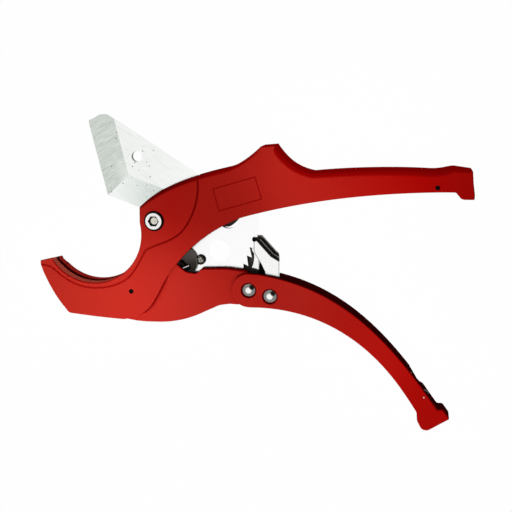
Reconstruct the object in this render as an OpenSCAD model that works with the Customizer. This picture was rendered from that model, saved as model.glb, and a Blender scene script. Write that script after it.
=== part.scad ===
// Ratchet pipe cutter, lying on its back face with the blade and the lower handle open.
// The origin is on the blade's pivot axis at the back face. +X runs to the handle ends, +Z is the front.

/* [Casting] */
// Thickness of the casting, from back face to front face
body_t = 22; // [20:0.5:26]
// Width of the slot that the blade runs in
slot_w = 5.4; // [4.8:0.1:6]
// Radius of the pipe seat
seat_r = 36.5; // [34:0.5:38]
// Distance from the pivot axis to the outside of the jaw's tip
jaw_reach = 86.5; // [82:0.5:92]
// Distance from the pivot axis to the end of the upper handle
handle_reach = 224; // [205:1:250]
// Height of the hump's top above the pivot axis
hump_h = 55.5; // [50:0.5:60]
// Side wall of the upper handle's channel
channel_wall = 3.6; // [2.5:0.1:5]
// Web along the top of the upper handle's channel
channel_web = 5; // [3:0.5:8]
// How far the faces of the lobe lie below the faces of the casting
lobe_recess = 3.6; // [3:0.1:5]
// Radius of the lobe's round end about the handle rivet
lobe_end_r = 8.3; // [7:0.1:8.6]

/* [Blade] */
// Thickness of the blade
blade_t = 4; // [3:0.1:4.4]
// Width of the ground bevels along the cutting edges
bevel_w = 19.5; // [10:0.5:22]
// Flat left on the cutting edges
edge_flat = 0.3; // [0.2:0.1:0.6]
// Radius of the hub about the pivot
hub_r = 10.8; // [9.8:0.1:10.8]
// Radius at the tips of the ratchet teeth
tip_r = 74.2; // [72:0.1:75]
// Depth of the ratchet teeth
tooth_depth = 3.9; // [2:0.1:4.5]
// Number of ratchet teeth
tooth_count = 18; // [10:1:18]
// Angle from one tooth to the next
tooth_pitch = 5.25; // [4:0.05:5.3]
// Radius of the large holes in the toothed sector
sector_hole_r = 8; // [4:0.5:9]
// Radius of the hanging hole in the blade
hang_hole_r = 3.8; // [2:0.1:5]

/* [Pivot] */
// Radius of the pivot bolt's shank
bolt_r = 5; // [4:0.1:5.5]
// Radius of the pivot bolt's head
bolt_head_r = 6.1; // [5.8:0.1:6.4]
// Height of the pivot bolt's head
bolt_head_h = 3.2; // [2:0.1:4.5]
// Across the flats of the socket in the bolt's head
socket_af = 6; // [4:0.1:7]
// Outside radius of the bush that the blade turns on
bush_r = 8; // [7:0.1:8.4]
// Across the flats of the pivot nut
nut_af = 15; // [13:0.5:18]
// Height of the pivot nut
nut_h = 5; // [3:0.5:6]

/* [Return spring] */
// Diameter of the return spring's wire
spring_wire = 1.2; // [0.8:0.1:1.3]
// Mean radius of the return spring's coil
spring_r = 9.6; // [9.4:0.1:10]
// Radius of the plate that anchors the return spring
anchor_r = 11.3; // [10.5:0.1:11.8]
// Thickness of the anchor plate
anchor_t = 1.2; // [0.8:0.1:1.3]
// Radius of the head of the screw in the blade
screw_head_r = 2.3; // [2:0.1:2.6]

/* [Lower handle] */
// Cheek thickness of the lower handle
cheek_t = 3.2; // [2.5:0.1:3.2]
// Thickness along the back of the lower handle
floor_t = 2.4; // [1.6:0.1:2.5]
// Radius of the lower handle's round end
handle_end_r = 12.4; // [11:0.1:13]
// How much each side of the lower handle draws in towards its end
handle_taper = 3; // [0:0.5:4]
// Distance from the pivot axis to the far corner of the lower handle, along X
low_reach = 212.5; // [206:0.5:218]
// Angle that shuts the lower handle
handle_shut = 55; // [40:1:55]
// Radius of the handle rivet's shank
handle_rivet_r = 4; // [3:0.1:4.4]
// Radius of the pawl rivet's shank
pawl_rivet_r = 3; // [2:0.1:3.4]
// Radius of the rivets' domed heads
rivet_head_r = 5.2; // [4.8:0.1:5.4]
// Depth of the round recesses for the rivets' heads
rivet_recess = 1.6; // [1.2:0.1:1.8]

/* [Pawls] */
// Thickness of the drive pawl's side plates
pawl_plate_t = 2.4; // [1.5:0.1:2.6]
// Radius of the drive pawl about its rivet
pawl_hub_r = 5.4; // [5:0.1:5.6]
// Thickness of the holding pawl and of the drive pawl's claw
claw_t = 4; // [3:0.1:4.4]
// Radius of the holding pawl about the handle rivet
hold_hub_r = 6.8; // [6:0.1:7.2]
// Diameter of the wire of the pawls' springs
pawl_wire = 0.8; // [0.5:0.1:0.8]

/* [Pins and latch] */
// Radius of the pin that stops the blade when it is open
stop_pin_r = 1.7; // [1.4:0.1:2]
// Radius of the pin across the upper handle that the latch hooks over
catch_pin_r = 1.6; // [1.2:0.1:2]
// Radius of the pin that the latch turns on
latch_pin_r = 1; // [0.8:0.1:1.6]
// Thickness of the latch
latch_t = 3; // [2:0.1:4]
// Width of metal around the latch's holes
latch_rim = 2.2; // [1.8:0.1:2.4]

/* [Hidden] */
$fn = 64;

// Clearances: running fits on pins, faces that slide, and room around moving pieces
run_gap = 0.05;
face_gap = 0.1;
room = 0.4;
// Past-the-face length for cuts
past = 1;

// Middle plane of the tool, and the height of the lobe's and slot's faces above it
mid = body_t / 2;
slot_h = slot_w / 2;
lobe_h = mid - lobe_recess;
blade_h = blade_t / 2;

// Centres of the pipe seat, the rivets and the pins
seat = [-46.4, -10];
handle_axis = polar(tip_r + 9.7, -35.4);
pawl_axis = handle_axis + [15.3, -4];
stop_axis = polar(tip_r - 19.2, -109.1);
catch_axis = [handle_reach - 25, 27];
latch_axis = [low_reach - 18.5, -122.6];
screw_axis = [32, -28.6];
anchor_axis = [18.6, -30.1];
anchor_rivet_axis = [15.2, -22.6];
sector_holes = [[45.5, -22.2], [52.5, 2.5]];
hang_hole = [-14.3, 45.2];

// The blade's outline: ends of the cutting edges and of the back
blade_tip = [-49.6, 67.4];
blade_point = [-37, 16.8];
heel_angle = 143;
sector_top = 22;
first_tooth = -15.4;
back_foot = [44, 24];
root_r = tip_r - tooth_depth;

// The sector's end rests on the stop pin when the blade is open
stop_angle = atan2(stop_axis[1], stop_axis[0]);
sector_end = stop_angle + asin((stop_pin_r + face_gap) / norm(stop_axis));

// The slot: radius about the pivot for the sector, and in the jaw for the blade's tip when it is shut
shut_angle = 97;
sector_slot_r = tip_r + 1.6;
jaw_slot_r = norm(blade_tip) + 3.62;
jaw_slot_end = 226.5;

// Heights of the return spring's parts above the middle plane
pocket_h = 5.6;
pocket_r = 48;
anchor_h = pocket_h - anchor_t;
leg_low = slot_h + 0.8;
leg_high = pocket_h + spring_wire / 2 + 0.3;
coil_pocket_h = leg_high + spring_wire / 2 + 0.3;
coil_pocket_r = spring_r + spring_wire / 2 + 0.9;
screw_head_h = anchor_h - 0.4;
hook_r = screw_head_r + spring_wire / 2 + 0.2;

// The bolt's head sits in a shallow ring of the front face, and the nut in the back face
head_ring_r = bolt_head_r + 1;
head_ring_depth = 1;
nut_sunk = 0.4;

// The latch reaches from its own pin to the catch pin when the handle is shut
function turned(p, a) = [p[0] * cos(a) - p[1] * sin(a), p[0] * sin(a) + p[1] * cos(a)];
latch_shut_axis = handle_axis + turned(latch_axis - handle_axis, handle_shut);
latch_len = norm(catch_axis - latch_shut_axis);
catch_throat = catch_pin_r + room;

// Heights of the lower handle's inner cheeks and of the pawl's layers
cheek_in = mid - cheek_t;
claw_h = claw_t / 2;
plate_out = cheek_in - 1.2;
plate_in = plate_out - pawl_plate_t;
rivet_head_h = rivet_recess + 0.6;
recess_gap = 0.5;

function unit(v) = v / norm(v);
function polar(r, a) = [r * cos(a), r * sin(a)];
function flat(p) = [p[0], p[1]];

// Points given from a centre, with any corner radius kept
function from(c, v) = [for (p = v) len(p) == 3 ? [c[0] + p[0], c[1] + p[1], p[2]] : c + p];

// Points of an arc, both ends included
function arc(c, r, a0, a1, n) = [for (i = [0:n]) c + polar(r, a0 + (a1 - a0) * i / n)];

// Points of a cubic curve with four control points, without its last point
function curve(p, n = 10) = [for (i = [0:n - 1]) let (t = i / n, s = 1 - t)
    s * s * s * p[0] + 3 * s * s * t * p[1] + 3 * s * t * t * p[2] + t * t * t * p[3]];

// Points that round the corner b between a and c
function corner(a, b, c, r) = r == undef || r == 0 ? [b] : let (
    u = unit(a - b),
    w = unit(c - b),
    half = acos(u * w) / 2,
    centre = b + unit(u + w) * r / sin(half),
    start = b + u * r / tan(half) - centre,
    side = cross(b - a, c - b) > 0 ? 1 : -1,
    sweep = side * (180 - 2 * half),
    a0 = atan2(start[1], start[0]))
    arc(centre, r, a0, a0 + sweep, max(2, ceil(abs(sweep) / 15)));

// Outline from [x, y] points and [x, y, radius] corners
function rounded(v) = [for (i = [0:len(v) - 1]) each corner(
    flat(v[(i + len(v) - 1) % len(v)]), flat(v[i]), flat(v[(i + 1) % len(v)]), v[i][2])];

// A run of points moved sideways, to the left of its direction
function shifted(v, d) = [for (i = [0:len(v) - 1]) let (
    along = unit(v[min(i + 1, len(v) - 1)] - v[max(i - 1, 0)]))
    v[i] + d * [-along[1], along[0]]];

// The edges of the castings, each as a run of points
jaw_back = curve([[-jaw_reach, -33.7], [0.8 - jaw_reach, -38.6], [-77.7, -56.2], [-69.4, -65.5]]);
jaw_heel = curve([[-69.4, -65.5], [-67.6, -67.5], [-67, -69.2], [-64.5, -69.6]], 4);
jaw_bottom = curve([[-64.5, -69.6], [-50, -71.2], [-36, -72.4], [-24, -72.9]], 6);
lobe_step = curve([[-24, -72.9], [3, -68.5], [-2, -50.5], [17.2, -29.3]]);
neck_under = curve([[17.2, -29.3], [30.9, -11.9], [54, 1], [66, 4.6]]);
handle_under = curve([[66, 4.6], [112, 18.2], [159, 23.5], [handle_reach - 13.4, 24.1]]);
handle_over = curve([[handle_reach - 17, 40.4], [178, 37.9], [144, 40], [114, 36.6]]);
hump_back = curve([[114, 36.6], [96.5, 38.8], [91.6, 49.4], [87, hump_h - 0.6]]);
hump_front = curve([[77, hump_h - 1.4], [73, 50], [62, 40.2], [52, 38.6]]);
head_top = curve([[52, 38.6], [28, 33.4], [7.5, 25.7], [-7, 12.6]]);
handle_toe = [[handle_reach - 11.5, 23.2, 1], [handle_reach - 8.6, 19.6, 1.5], [handle_reach - 0.2, 19.6, 1.5],
    [handle_reach, 22.6], [handle_reach - 1.2, 31], [handle_reach - 2, 37.9, 2]];
neck = [[-10.9, 9.5, 2.5], [-10.9, seat[1]]];
casting_outline = rounded(concat([[-76.4, -31.1, 0.8], [1.4 - jaw_reach, -31, 2]], jaw_back, jaw_heel, jaw_bottom,
    lobe_step, neck_under, handle_under, handle_toe, handle_over, hump_back, hump_front, head_top, neck));

// The lobe: its bottom follows the teeth, its top has the round notch of the spring's window
lobe_r = tip_r + 0.9;
lobe_outline = rounded(concat(
    [[-24.6, -72.3]], arc([0, 0], lobe_r, -97, -62, 10),
    from(handle_axis, [[-21.9, -12, 8], [-14.4, -10.6, 8], [-6.9, -11, 8]]),
    arc(handle_axis, lobe_end_r, -95, 45, 10),
    from(handle_axis, [[-2.4, 14.4, 3]]),
    [[52, -32.7, 20], [33.8, -32.8, 1.5]],
    [[29.6, -38.2, 4], [22, -37, 4], [17.5, -33.4, 2], [8, -25]]));

// The lip of the back cheek behind the blade's upper hole
back_lip = rounded([[47, -8, 3], [53, -6.8, 6], [60, -3.6, 6], [64.7, 2.8], [63, 9], [43, 1], [40, -6]]);

// The lower handle: back edge, cheek edge and end block
low_last = [low_reach - 27.9, -127];
low_back = curve([handle_axis + [0.6, -12.4], handle_axis + [76, -9.2], [low_reach - 35.5, -115.2], low_last], 14);
low_cheek = curve([[low_reach - 14, -124.2], [low_reach - 55.2, -66.3], handle_axis + [52.6, 5.8],
    handle_axis + [1.6, 12.4]], 14);
low_end = [[low_reach - 23.4, -134, 3], [low_reach - 23, -140, 5], [low_reach - 18.5, -148.6, 3.5],
    [low_reach, -137, 1.6], [low_reach - 5.4, -131, 1.6], [low_reach - 9, -131, 1.6]];
handle_outline = rounded(concat(low_back, low_end, low_cheek,
    arc(handle_axis, handle_end_r, 97, 262, 14)));
channel_floor = shifted(concat(low_back, [low_last]), floor_t);
channel_start = handle_axis[0] + 2.2;
channel_outline = concat([[channel_start, -80], [channel_start, channel_floor[0][1]]],
    [for (p = channel_floor) if (p[0] > channel_start) p],
    [[low_reach - 17.5, -131], [low_reach - 8, -124], [low_reach - 12, -100], [120, -30], [40, -20], [40, -70]]);
// The stowed latch points along the handle, a little to the open side of the line midway between its edges
latch_line = [for (i = [4:13]) let (p = (low_back[i] + low_cheek[14 - i]) / 2 - latch_axis)
    [norm(p), atan2(p[1], p[0])]];
latch_stowed = lookup(latch_len, latch_line) - 10.6;
// Notch in the back cheek beside the latch, for the thumb
thumb_notch = from([low_reach, -108], [[-30.5, -0.5], [-24, -9.5], [-10.5, 0], [-20.5, 12]]);

// The layers of the drive pawl: each layer further back reaches further out along the slanted edge
function pawl_layer(out, right) = rounded(from(pawl_axis, concat(
    [[-5.3, 0.5], [-4.2, 17], [-7.3, 23.2], [-11.2, 29.5, 3], [-12.2, 32.2], [-12.3, 38.6 + out, 0.6]],
    slanted(out, right), [[right, 8, 2], [5.3, 0]])));
function slanted(out, right) = [[-10.2 + 0.72 * out, 39.9 + 0.69 * out, 0.8], [0.4 + 0.72 * out, 28.4 + 0.69 * out, 2],
    [right, 25.1 + 1.25 * out, 0.6]];
claw_outline = rounded(from(pawl_axis, concat([[-5.3, 0.5], [-4.7, 8.6, 4], [-5.2, 22.6, 8], [-6.7, 32.6, 4],
    [-9.2, 36.6, 0.4]], slanted(1.4, 5.4), [[5.4, 8, 2], [5.3, 0]])));
tab_front = rounded(from(pawl_axis, concat([[-8, 34], [-13.7, 39.2, 0.8], [-13.7, 41.2, 0.6], [-11.4, 41.2]],
    slanted(0.7, 5.8), [[5.8, 21, 1], [1, 21, 1]])));
tab_rear = rounded(from(pawl_axis, concat([[-8, 34]], slanted(2.1, 4.9), [[4.9, 21, 1], [1, 21, 1]])));

// The holding pawl: an arm from the handle rivet whose nose lies along the tips of the teeth, and the plate behind it
hold_outline = rounded(concat(from(handle_axis, [[6.2, 6.6], [6.2, 18.6, 6], [6.6, 29.1, 0.5]]),
    arc([0, 0], tip_r + 0.6, -14, -19, 3), arc([0, 0], tip_r + 3, -24, -29, 3), from(handle_axis, [[-5.5, 5.6]])));
hold_plate_outline = concat(from(handle_axis, [[5, 6], [4.2, 18.6], [4.4, 28.2]]),
    arc([0, 0], root_r - 1.6, -15.2, -34, 6), from(handle_axis, [[-6.2, 3]]));

// A plate between two heights above the middle plane
module slab(low, high) {
    translate([0, 0, mid + low]) linear_extrude(high - low) children();
}

// A pin along Z between two heights above the middle plane
module pin(p, r, low, high) {
    translate([p[0], p[1], mid + low]) cylinder(r = r, h = high - low);
}

// A regular hexagon by its width across the flats
module hexagon(af) {
    circle(d = af / cos(30), $fn = 6);
}

// Part of a disc about the pivot
module pie(r, a0, a1, low, high) {
    intersection() {
        pin([0, 0], r, low, high);
        slab(low - past, high + past) polygon(concat([[0, 0]], arc([0, 0], 2 * r, a0, a1, 8)));
    }
}

// The slot between the cheeks: the sector's disc, the shut blade's place in the jaw, and the pawls' place in the lobe
module blade_slot() {
    low = -slot_h;
    high = slot_h;
    pie(sector_slot_r, stop_angle - 1.5, 100, low, high);
    pie(sector_slot_r, 100, 200, low, high);
    shut_tip = polar(jaw_slot_r, jaw_slot_end);
    point_angle = atan2(blade_point[1], blade_point[0]) + shut_angle;
    shut_point = polar(norm(blade_point) + 3, point_angle);
    intersection() {
        pin([0, 0], jaw_slot_r, low, high);
        slab(low, high) polygon([[0, 0], shut_point, shut_tip, 2 * shut_tip, [-200, 0], [-200, 90]]);
    }
    slab(low, high) polygon([[36, -80], [90, -80], [90, -20], [62, -20]]);
}

// Pocket in the front cheek for the return spring and its anchor plate
module spring_pocket() {
    pie(pocket_r, -80, 66, slot_h - past, pocket_h);
    pin([0, 0], coil_pocket_r, 0, coil_pocket_h);
    leg = flat(spring_path[len(spring_path) - 2]) - polar(spring_r, coil_end);
    translate(concat(polar(spring_r, coil_end), [mid])) rotate([0, 0, atan2(leg[1], leg[0])])
        translate([0, -spring_wire, 0]) cube([norm(leg) + spring_wire, 2 * spring_wire, coil_pocket_h]);
}

// Channel in the underside of the upper handle
module handle_channel() {
    half = mid - channel_wall;
    top = shifted(concat(handle_over, [[114, 36.6]]), channel_web);
    slab(-half, half) polygon(concat(top, [[92, 27], [89, 0], [handle_reach - 17, 0]]));
}

module body_casting() {
    color([0.72, 0.09, 0.07]) difference() {
        union() {
            slab(-mid, mid) polygon(casting_outline);
            slab(-lobe_h, lobe_h) polygon(lobe_outline);
            slab(-mid, 0) polygon(back_lip);
        }
        pin(seat, seat_r, -mid - past, mid + past);
        blade_slot();
        spring_pocket();
        handle_channel();
        pin([0, 0], bolt_r + run_gap, -mid - past, mid + past);
        pin([0, 0], head_ring_r, mid - head_ring_depth, mid + past);
        slab(-mid - past, nut_h + nut_sunk - mid) hexagon(nut_af + 2 * face_gap);
        pin(stop_axis, stop_pin_r, -mid - past, mid + past);
        pin(catch_axis, catch_pin_r, -mid - past, mid + past);
        pin(handle_axis, handle_rivet_r, -mid, mid);
        pin(handle_axis, hold_hub_r + 0.4, 0, slot_h + 3.2);
        pin(anchor_rivet_axis, 1.5, 0, pocket_h + 2.4);
    }
}

// A ground bevel along the edge from p to q, on one face of the blade
module bevel(p, q, before, after) {
    drop = blade_h - edge_flat / 2;
    run = norm(q - p) + before + after;
    translate([p[0], p[1], mid]) rotate([0, 0, atan2(q[1] - p[1], q[0] - p[0])])
        translate([-before, 0, 0]) rotate([90, 0, 90]) linear_extrude(run)
            polygon([[-past, blade_h - drop * (1 + past / bevel_w)], [bevel_w, blade_h],
                [bevel_w, blade_h + past], [-past, blade_h + past]]);
}

module blade() {
    heel = polar(hub_r, heel_angle);
    teeth = [for (k = [tooth_count - 1:-1:0]) let (a = first_tooth - k * tooth_pitch)
        each [polar(root_r, a), polar(tip_r, a)]];
    outline = rounded(concat(
        [polar(tip_r, sector_end)], teeth, arc([0, 0], tip_r, first_tooth + 4, sector_top - 4, 8),
        [concat(polar(tip_r, sector_top), [3]), concat(back_foot, [14])],
        [[-36.2, 75.4, 3.5], [-41.6, 75, 3], [-46.4, 72.2, 2], [-50, 70.9, 1], blade_tip, blade_point],
        arc([0, 0], hub_r, heel_angle, 360 + sector_end, 14)));
    color([0.86, 0.87, 0.86]) difference() {
        slab(-blade_h, blade_h) polygon(outline);
        for (side = [0, 1]) translate([0, 0, mid]) mirror([0, 0, side]) translate([0, 0, -mid]) {
            bevel(blade_tip, blade_point, 15, 20);
            difference() {
                bevel(blade_point, heel, 20, 12);
                slab(-mid, mid) polygon([heel, heel + [32, 30], [60, 0], [0, -20]]);
            }
        }
        pin([0, 0], bush_r + run_gap, -mid, mid);
        for (p = sector_holes) pin(p, sector_hole_r, -mid, mid);
        pin(hang_hole, hang_hole_r, -mid, mid);
        pin(screw_axis, 1.5, -mid, mid);
    }
}

module pivot_bolt() {
    seat_h = mid - head_ring_depth;
    color([0.85, 0.85, 0.83]) difference() {
        union() {
            pin([0, 0], bolt_head_r, seat_h, seat_h + bolt_head_h);
            pin([0, 0], bolt_r, -mid + nut_sunk + nut_h, seat_h);
            pin([0, 0], bolt_r - 1, -mid + nut_sunk, seat_h);
        }
        slab(seat_h + bolt_head_h - 2.4, mid + bolt_head_h) hexagon(socket_af);
    }
}

module pivot_nut() {
    color([0.3, 0.29, 0.27]) difference() {
        slab(-mid + nut_sunk, -mid + nut_sunk + nut_h) hexagon(nut_af);
        pin([0, 0], bolt_r - 1, -mid, mid);
    }
}

module pivot_bush() {
    color([0.6, 0.6, 0.58]) difference() {
        pin([0, 0], bush_r, -slot_h, coil_pocket_h);
        pin([0, 0], bolt_r + run_gap, -mid, mid);
    }
}

module pivot_washers() {
    color([0.5, 0.5, 0.48]) for (side = [-1, 1]) difference() {
        pin([0, 0], hub_r - 0.6, min(side * slot_h, side * (blade_h + face_gap)),
            max(side * slot_h, side * (blade_h + face_gap)));
        pin([0, 0], bush_r, -mid, mid);
    }
}

module stop_pin() {
    color([0.12, 0.11, 0.1]) pin(stop_axis, stop_pin_r, 1 - mid, mid - 1);
}

module catch_pin() {
    color([0.12, 0.11, 0.1]) pin(catch_axis, catch_pin_r, 0.8 - mid, mid - 0.8);
}

// A rivet with a domed head sunk in the recess of each cheek
module domed_rivet(p, r) {
    dome_r = (rivet_head_r * rivet_head_r + rivet_head_h * rivet_head_h) / (2 * rivet_head_h);
    recess_floor = mid - rivet_recess + face_gap;
    pin(p, r, -recess_floor, recess_floor);
    intersection() {
        pin(p, rivet_head_r, recess_floor, mid + rivet_head_h);
        translate([p[0], p[1], mid + recess_floor + rivet_head_h - dome_r]) sphere(r = dome_r);
    }
    pin(p, rivet_head_r, -mid + 0.4, -recess_floor);
}

module handle_rivet() {
    color([0.55, 0.53, 0.5]) domed_rivet(handle_axis, handle_rivet_r);
}

module pawl_rivet() {
    color([0.55, 0.53, 0.5]) domed_rivet(pawl_axis, pawl_rivet_r);
}

module spring_anchor() {
    color([0.24, 0.22, 0.2]) difference() {
        pin(anchor_axis, anchor_r, anchor_h, pocket_h);
        pin(anchor_rivet_axis, 1.5, 0, mid);
        pin(flat(spring_path[len(spring_path) - 1]), spring_wire / 2 + 0.4, 0, mid);
    }
}

module anchor_rivet() {
    color([0.3, 0.28, 0.26]) {
        pin(anchor_rivet_axis, 1.5, anchor_h, pocket_h + 2.4);
        pin(anchor_rivet_axis, 2.2, anchor_h - 0.4, anchor_h);
    }
}

module anchor_screw() {
    color([0.7, 0.7, 0.68]) difference() {
        union() {
            pin(screw_axis, 1.5, -blade_h, blade_h);
            pin(screw_axis, screw_head_r, blade_h, screw_head_h);
        }
        for (a = [20, 110]) translate([screw_axis[0], screw_axis[1], mid + screw_head_h]) rotate([0, 0, a])
            cube([2.6, 0.7, 1.2], center = true);
    }
}

// The return spring's centre line: eye round the screw, leg, coil, leg and end turned down into the anchor
spring_end = [21.4, -34];
screw_dist = norm(screw_axis);
screw_angle = atan2(screw_axis[1], screw_axis[0]);
hook_angle = screw_angle + acos((spring_r + hook_r) / screw_dist);
end_dist = norm(spring_end);
end_angle = atan2(spring_end[1], spring_end[0]);
coil_start = hook_angle;
coil_end = end_angle - acos(spring_r / end_dist) + 720;
coil_steps = 40;
spring_hook = [for (i = [0:10]) let (a = hook_angle + 180 + 32 * (10 - i)) concat(screw_axis + polar(hook_r, a), [leg_low])];
spring_coil = [for (i = [0:coil_steps]) let (f = i / coil_steps, a = coil_start + (coil_end - coil_start) * f)
    concat(polar(spring_r, a), [leg_low + (leg_high - leg_low) * f])];
spring_tail = [concat(spring_end - 1.6 * unit(spring_end), [leg_high]), concat(spring_end, [anchor_h + 0.3])];
spring_path = concat(spring_hook, spring_coil, spring_tail);

// One tube along a run of points, with its rings square to the run
module tube(path, r, sides = 6) {
    n = len(path);
    rings = [for (i = [0:n - 1]) let (
        along = unit(path[min(i + 1, n - 1)] - path[max(i - 1, 0)]),
        side = unit(abs(along[2]) > 0.8 ? cross(along, [1, 0, 0]) : cross(along, [0, 0, 1])),
        up = cross(side, along))
        for (k = [0:sides - 1]) path[i] + r * (side * cos(360 * k / sides) + up * sin(360 * k / sides))];
    walls = [for (i = [0:n - 2], k = [0:sides - 1]) let (a = i * sides, b = a + sides, m = (k + 1) % sides)
        each [[a + k, a + m, b + k], [a + m, b + m, b + k]]];
    first = [for (k = [1:sides - 2]) [0, k + 1, k]];
    last = [for (k = [1:sides - 2]) let (b = (n - 1) * sides) [b, b + k, b + k + 1]];
    translate([0, 0, mid]) polyhedron(points = rings, faces = concat(walls, first, last));
}

module return_spring() {
    color([0.35, 0.34, 0.33]) tube(spring_path, spring_wire / 2);
}

// A small torsion spring about a rivet: two straight legs and a short coil
function small_coil(p, r, low, turns, from, pitch, leg_a, leg_b) = let (
    start = p + polar(r, from),
    last = p + polar(r, from + 360 * turns))
    concat(
        [concat(start - leg_a * polar(1, from + 90), [low])],
        [for (i = [0:20 * turns]) let (a = from + 18 * i)
            concat(p + polar(r, a), [low + pitch * 18 * i / 360])],
        [concat(last + leg_b * polar(1, from + 360 * turns + 90), [low + pitch * turns])]);

hold_spring_path = small_coil(handle_axis, handle_rivet_r + pawl_wire / 2 + 0.5, slot_h + 0.6, 1.3, 250, 1.4, 4, 4);
pawl_spring_path = small_coil(pawl_axis, pawl_hub_r - 0.9, claw_h + pawl_wire / 2 + 0.1, 1, 170, 1.25, 10, 4);

// Least gap of a wound wire to itself, between points that lie at least so many steps apart along it
function least_gap(path, wire, apart) = min([for (i = [0:len(path) - 1 - apart], k = [i + apart:len(path) - 1])
    norm(path[i] - path[k])]) - wire;
echo(return_spring_gap = least_gap(spring_path, spring_wire, 9));
echo(hold_spring_gap = least_gap(hold_spring_path, pawl_wire, 9));
echo(pawl_spring_gap = least_gap(pawl_spring_path, pawl_wire, 9));

module hold_spring() {
    color([0.4, 0.39, 0.37]) tube(hold_spring_path, pawl_wire / 2);
}

module pawl_spring() {
    color([0.4, 0.39, 0.37]) tube(pawl_spring_path, pawl_wire / 2);
}

module hold_pawl() {
    color([0.82, 0.82, 0.81]) difference() {
        union() {
            slab(-claw_h, claw_h) polygon(hold_outline);
            pin(handle_axis, hold_hub_r, -claw_h, claw_h);
        }
        pin(handle_axis, handle_rivet_r + run_gap, -mid, mid);
    }
}

// A dark plate that runs behind the holding pawl and the teeth, in the back of the slot
module hold_plate() {
    back = face_gap - slot_h;
    front = -blade_h - face_gap;
    color([0.2, 0.19, 0.18]) difference() {
        union() {
            slab(back, front) polygon(hold_plate_outline);
            pin(handle_axis, hold_hub_r, back, front);
        }
        pin(handle_axis, handle_rivet_r + run_gap, -mid, mid);
    }
}

// The wedge that draws the lower handle's sides in towards its end
module handle_wedge(inset) {
    far = low_reach + 10;
    translate([0, 60, mid]) rotate([90, 0, 0]) linear_extrude(260) polygon([
        [0, inset - mid], [90, inset - mid], [far, inset + handle_taper - mid],
        [far, mid - inset - handle_taper], [90, mid - inset], [0, mid - inset]]);
}

module lower_handle() {
    color([0.72, 0.09, 0.07]) difference() {
        intersection() {
            slab(-mid, mid) polygon(handle_outline);
            handle_wedge(0);
        }
        intersection() {
            slab(-mid, mid) polygon(channel_outline);
            handle_wedge(cheek_t);
        }
        slab(-mid - past, -latch_t) polygon(thumb_notch);
        pin(handle_axis, handle_rivet_r + run_gap, -mid - past, mid + past);
        pin(pawl_axis, pawl_rivet_r, -mid - past, mid + past);
        pin(latch_axis, latch_pin_r, -mid - past, mid + past);
        for (p = [handle_axis, pawl_axis]) {
            pin(p, rivet_head_r + recess_gap, mid - rivet_recess, mid + past);
            pin(p, rivet_head_r + recess_gap, -mid - past, rivet_recess - mid);
        }
    }
}

module pawl_plate(low, high, out, right) {
    difference() {
        union() {
            slab(low, high) polygon(pawl_layer(out, right));
            pin(pawl_axis, pawl_hub_r, low, high);
        }
        pin(pawl_axis, pawl_rivet_r + run_gap, -mid, mid);
    }
}

module pawl_front_plate() {
    color([0.88, 0.88, 0.87]) pawl_plate(plate_in, plate_out, 0, 6.2);
}

module pawl_rear_plate() {
    color([0.88, 0.88, 0.87]) pawl_plate(-plate_out, -plate_in, 2.8, 4.4);
}

module pawl_claw() {
    color([0.8, 0.8, 0.79]) difference() {
        union() {
            slab(-claw_h, claw_h) polygon(claw_outline);
            pin(pawl_axis, pawl_hub_r, -claw_h, claw_h);
        }
        pin(pawl_axis, pawl_rivet_r + run_gap, -mid, mid);
    }
}

// Dark packing between the claw and each side plate
module pawl_tab() {
    color([0.2, 0.19, 0.18]) {
        slab(claw_h + face_gap, plate_in) polygon(tab_front);
        slab(-plate_in, -claw_h - face_gap) polygon(tab_rear);
    }
}

module pawl_spacers() {
    color([0.45, 0.44, 0.42]) for (low = [-plate_in, claw_h]) difference() {
        pin(pawl_axis, pawl_rivet_r + 0.7, low, low + plate_in - claw_h);
        pin(pawl_axis, pawl_rivet_r + run_gap, -mid, mid);
    }
}

module latch() {
    ring_r = catch_throat + latch_rim;
    hub = latch_pin_r + latch_rim;
    color([0.2, 0.19, 0.18]) translate([latch_axis[0], latch_axis[1], mid]) rotate([0, 0, latch_stowed])
        difference() {
            translate([0, 0, -latch_t / 2]) linear_extrude(latch_t) union() {
                circle(hub);
                translate([0, -0.2]) square([latch_len, 3.4]);
                translate([latch_len, 0]) circle(ring_r);
            }
            translate([0, 0, -latch_t]) cylinder(r = latch_pin_r + run_gap, h = 2 * latch_t);
            translate([latch_len, 0, -latch_t]) cylinder(r = catch_throat, h = 2 * latch_t);
            translate([latch_len - catch_throat, -2 * ring_r, -latch_t])
                cube([2 * catch_throat, 2 * ring_r, 2 * latch_t]);
        }
}

module latch_pin() {
    inset = handle_taper * 0.85;
    color([0.85, 0.85, 0.83]) pin(latch_axis, latch_pin_r, inset - mid, mid - inset + 0.3);
}

module latch_spacers() {
    inner = latch_t / 2 + face_gap;
    outer = cheek_in - handle_taper;
    color([0.6, 0.6, 0.58]) for (low = [-outer, inner]) difference() {
        pin(latch_axis, latch_pin_r + 1, low, low + outer - inner);
        pin(latch_axis, latch_pin_r, -mid, mid);
    }
}

body_casting();
blade();
pivot_bolt();
pivot_nut();
pivot_bush();
pivot_washers();
stop_pin();
catch_pin();
handle_rivet();
spring_anchor();
anchor_rivet();
anchor_screw();
return_spring();
hold_pawl();
hold_plate();
hold_spring();
lower_handle();
pawl_rivet();
pawl_front_plate();
pawl_rear_plate();
pawl_claw();
pawl_tab();
pawl_spacers();
pawl_spring();
latch();
latch_pin();
latch_spacers();
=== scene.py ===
"""Looks of a ratchet pipe cutter: painted castings with rounded rims, ground blade, plated fasteners."""
import math

import bpy
import numpy as np
from mathutils import Matrix, Vector


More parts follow.
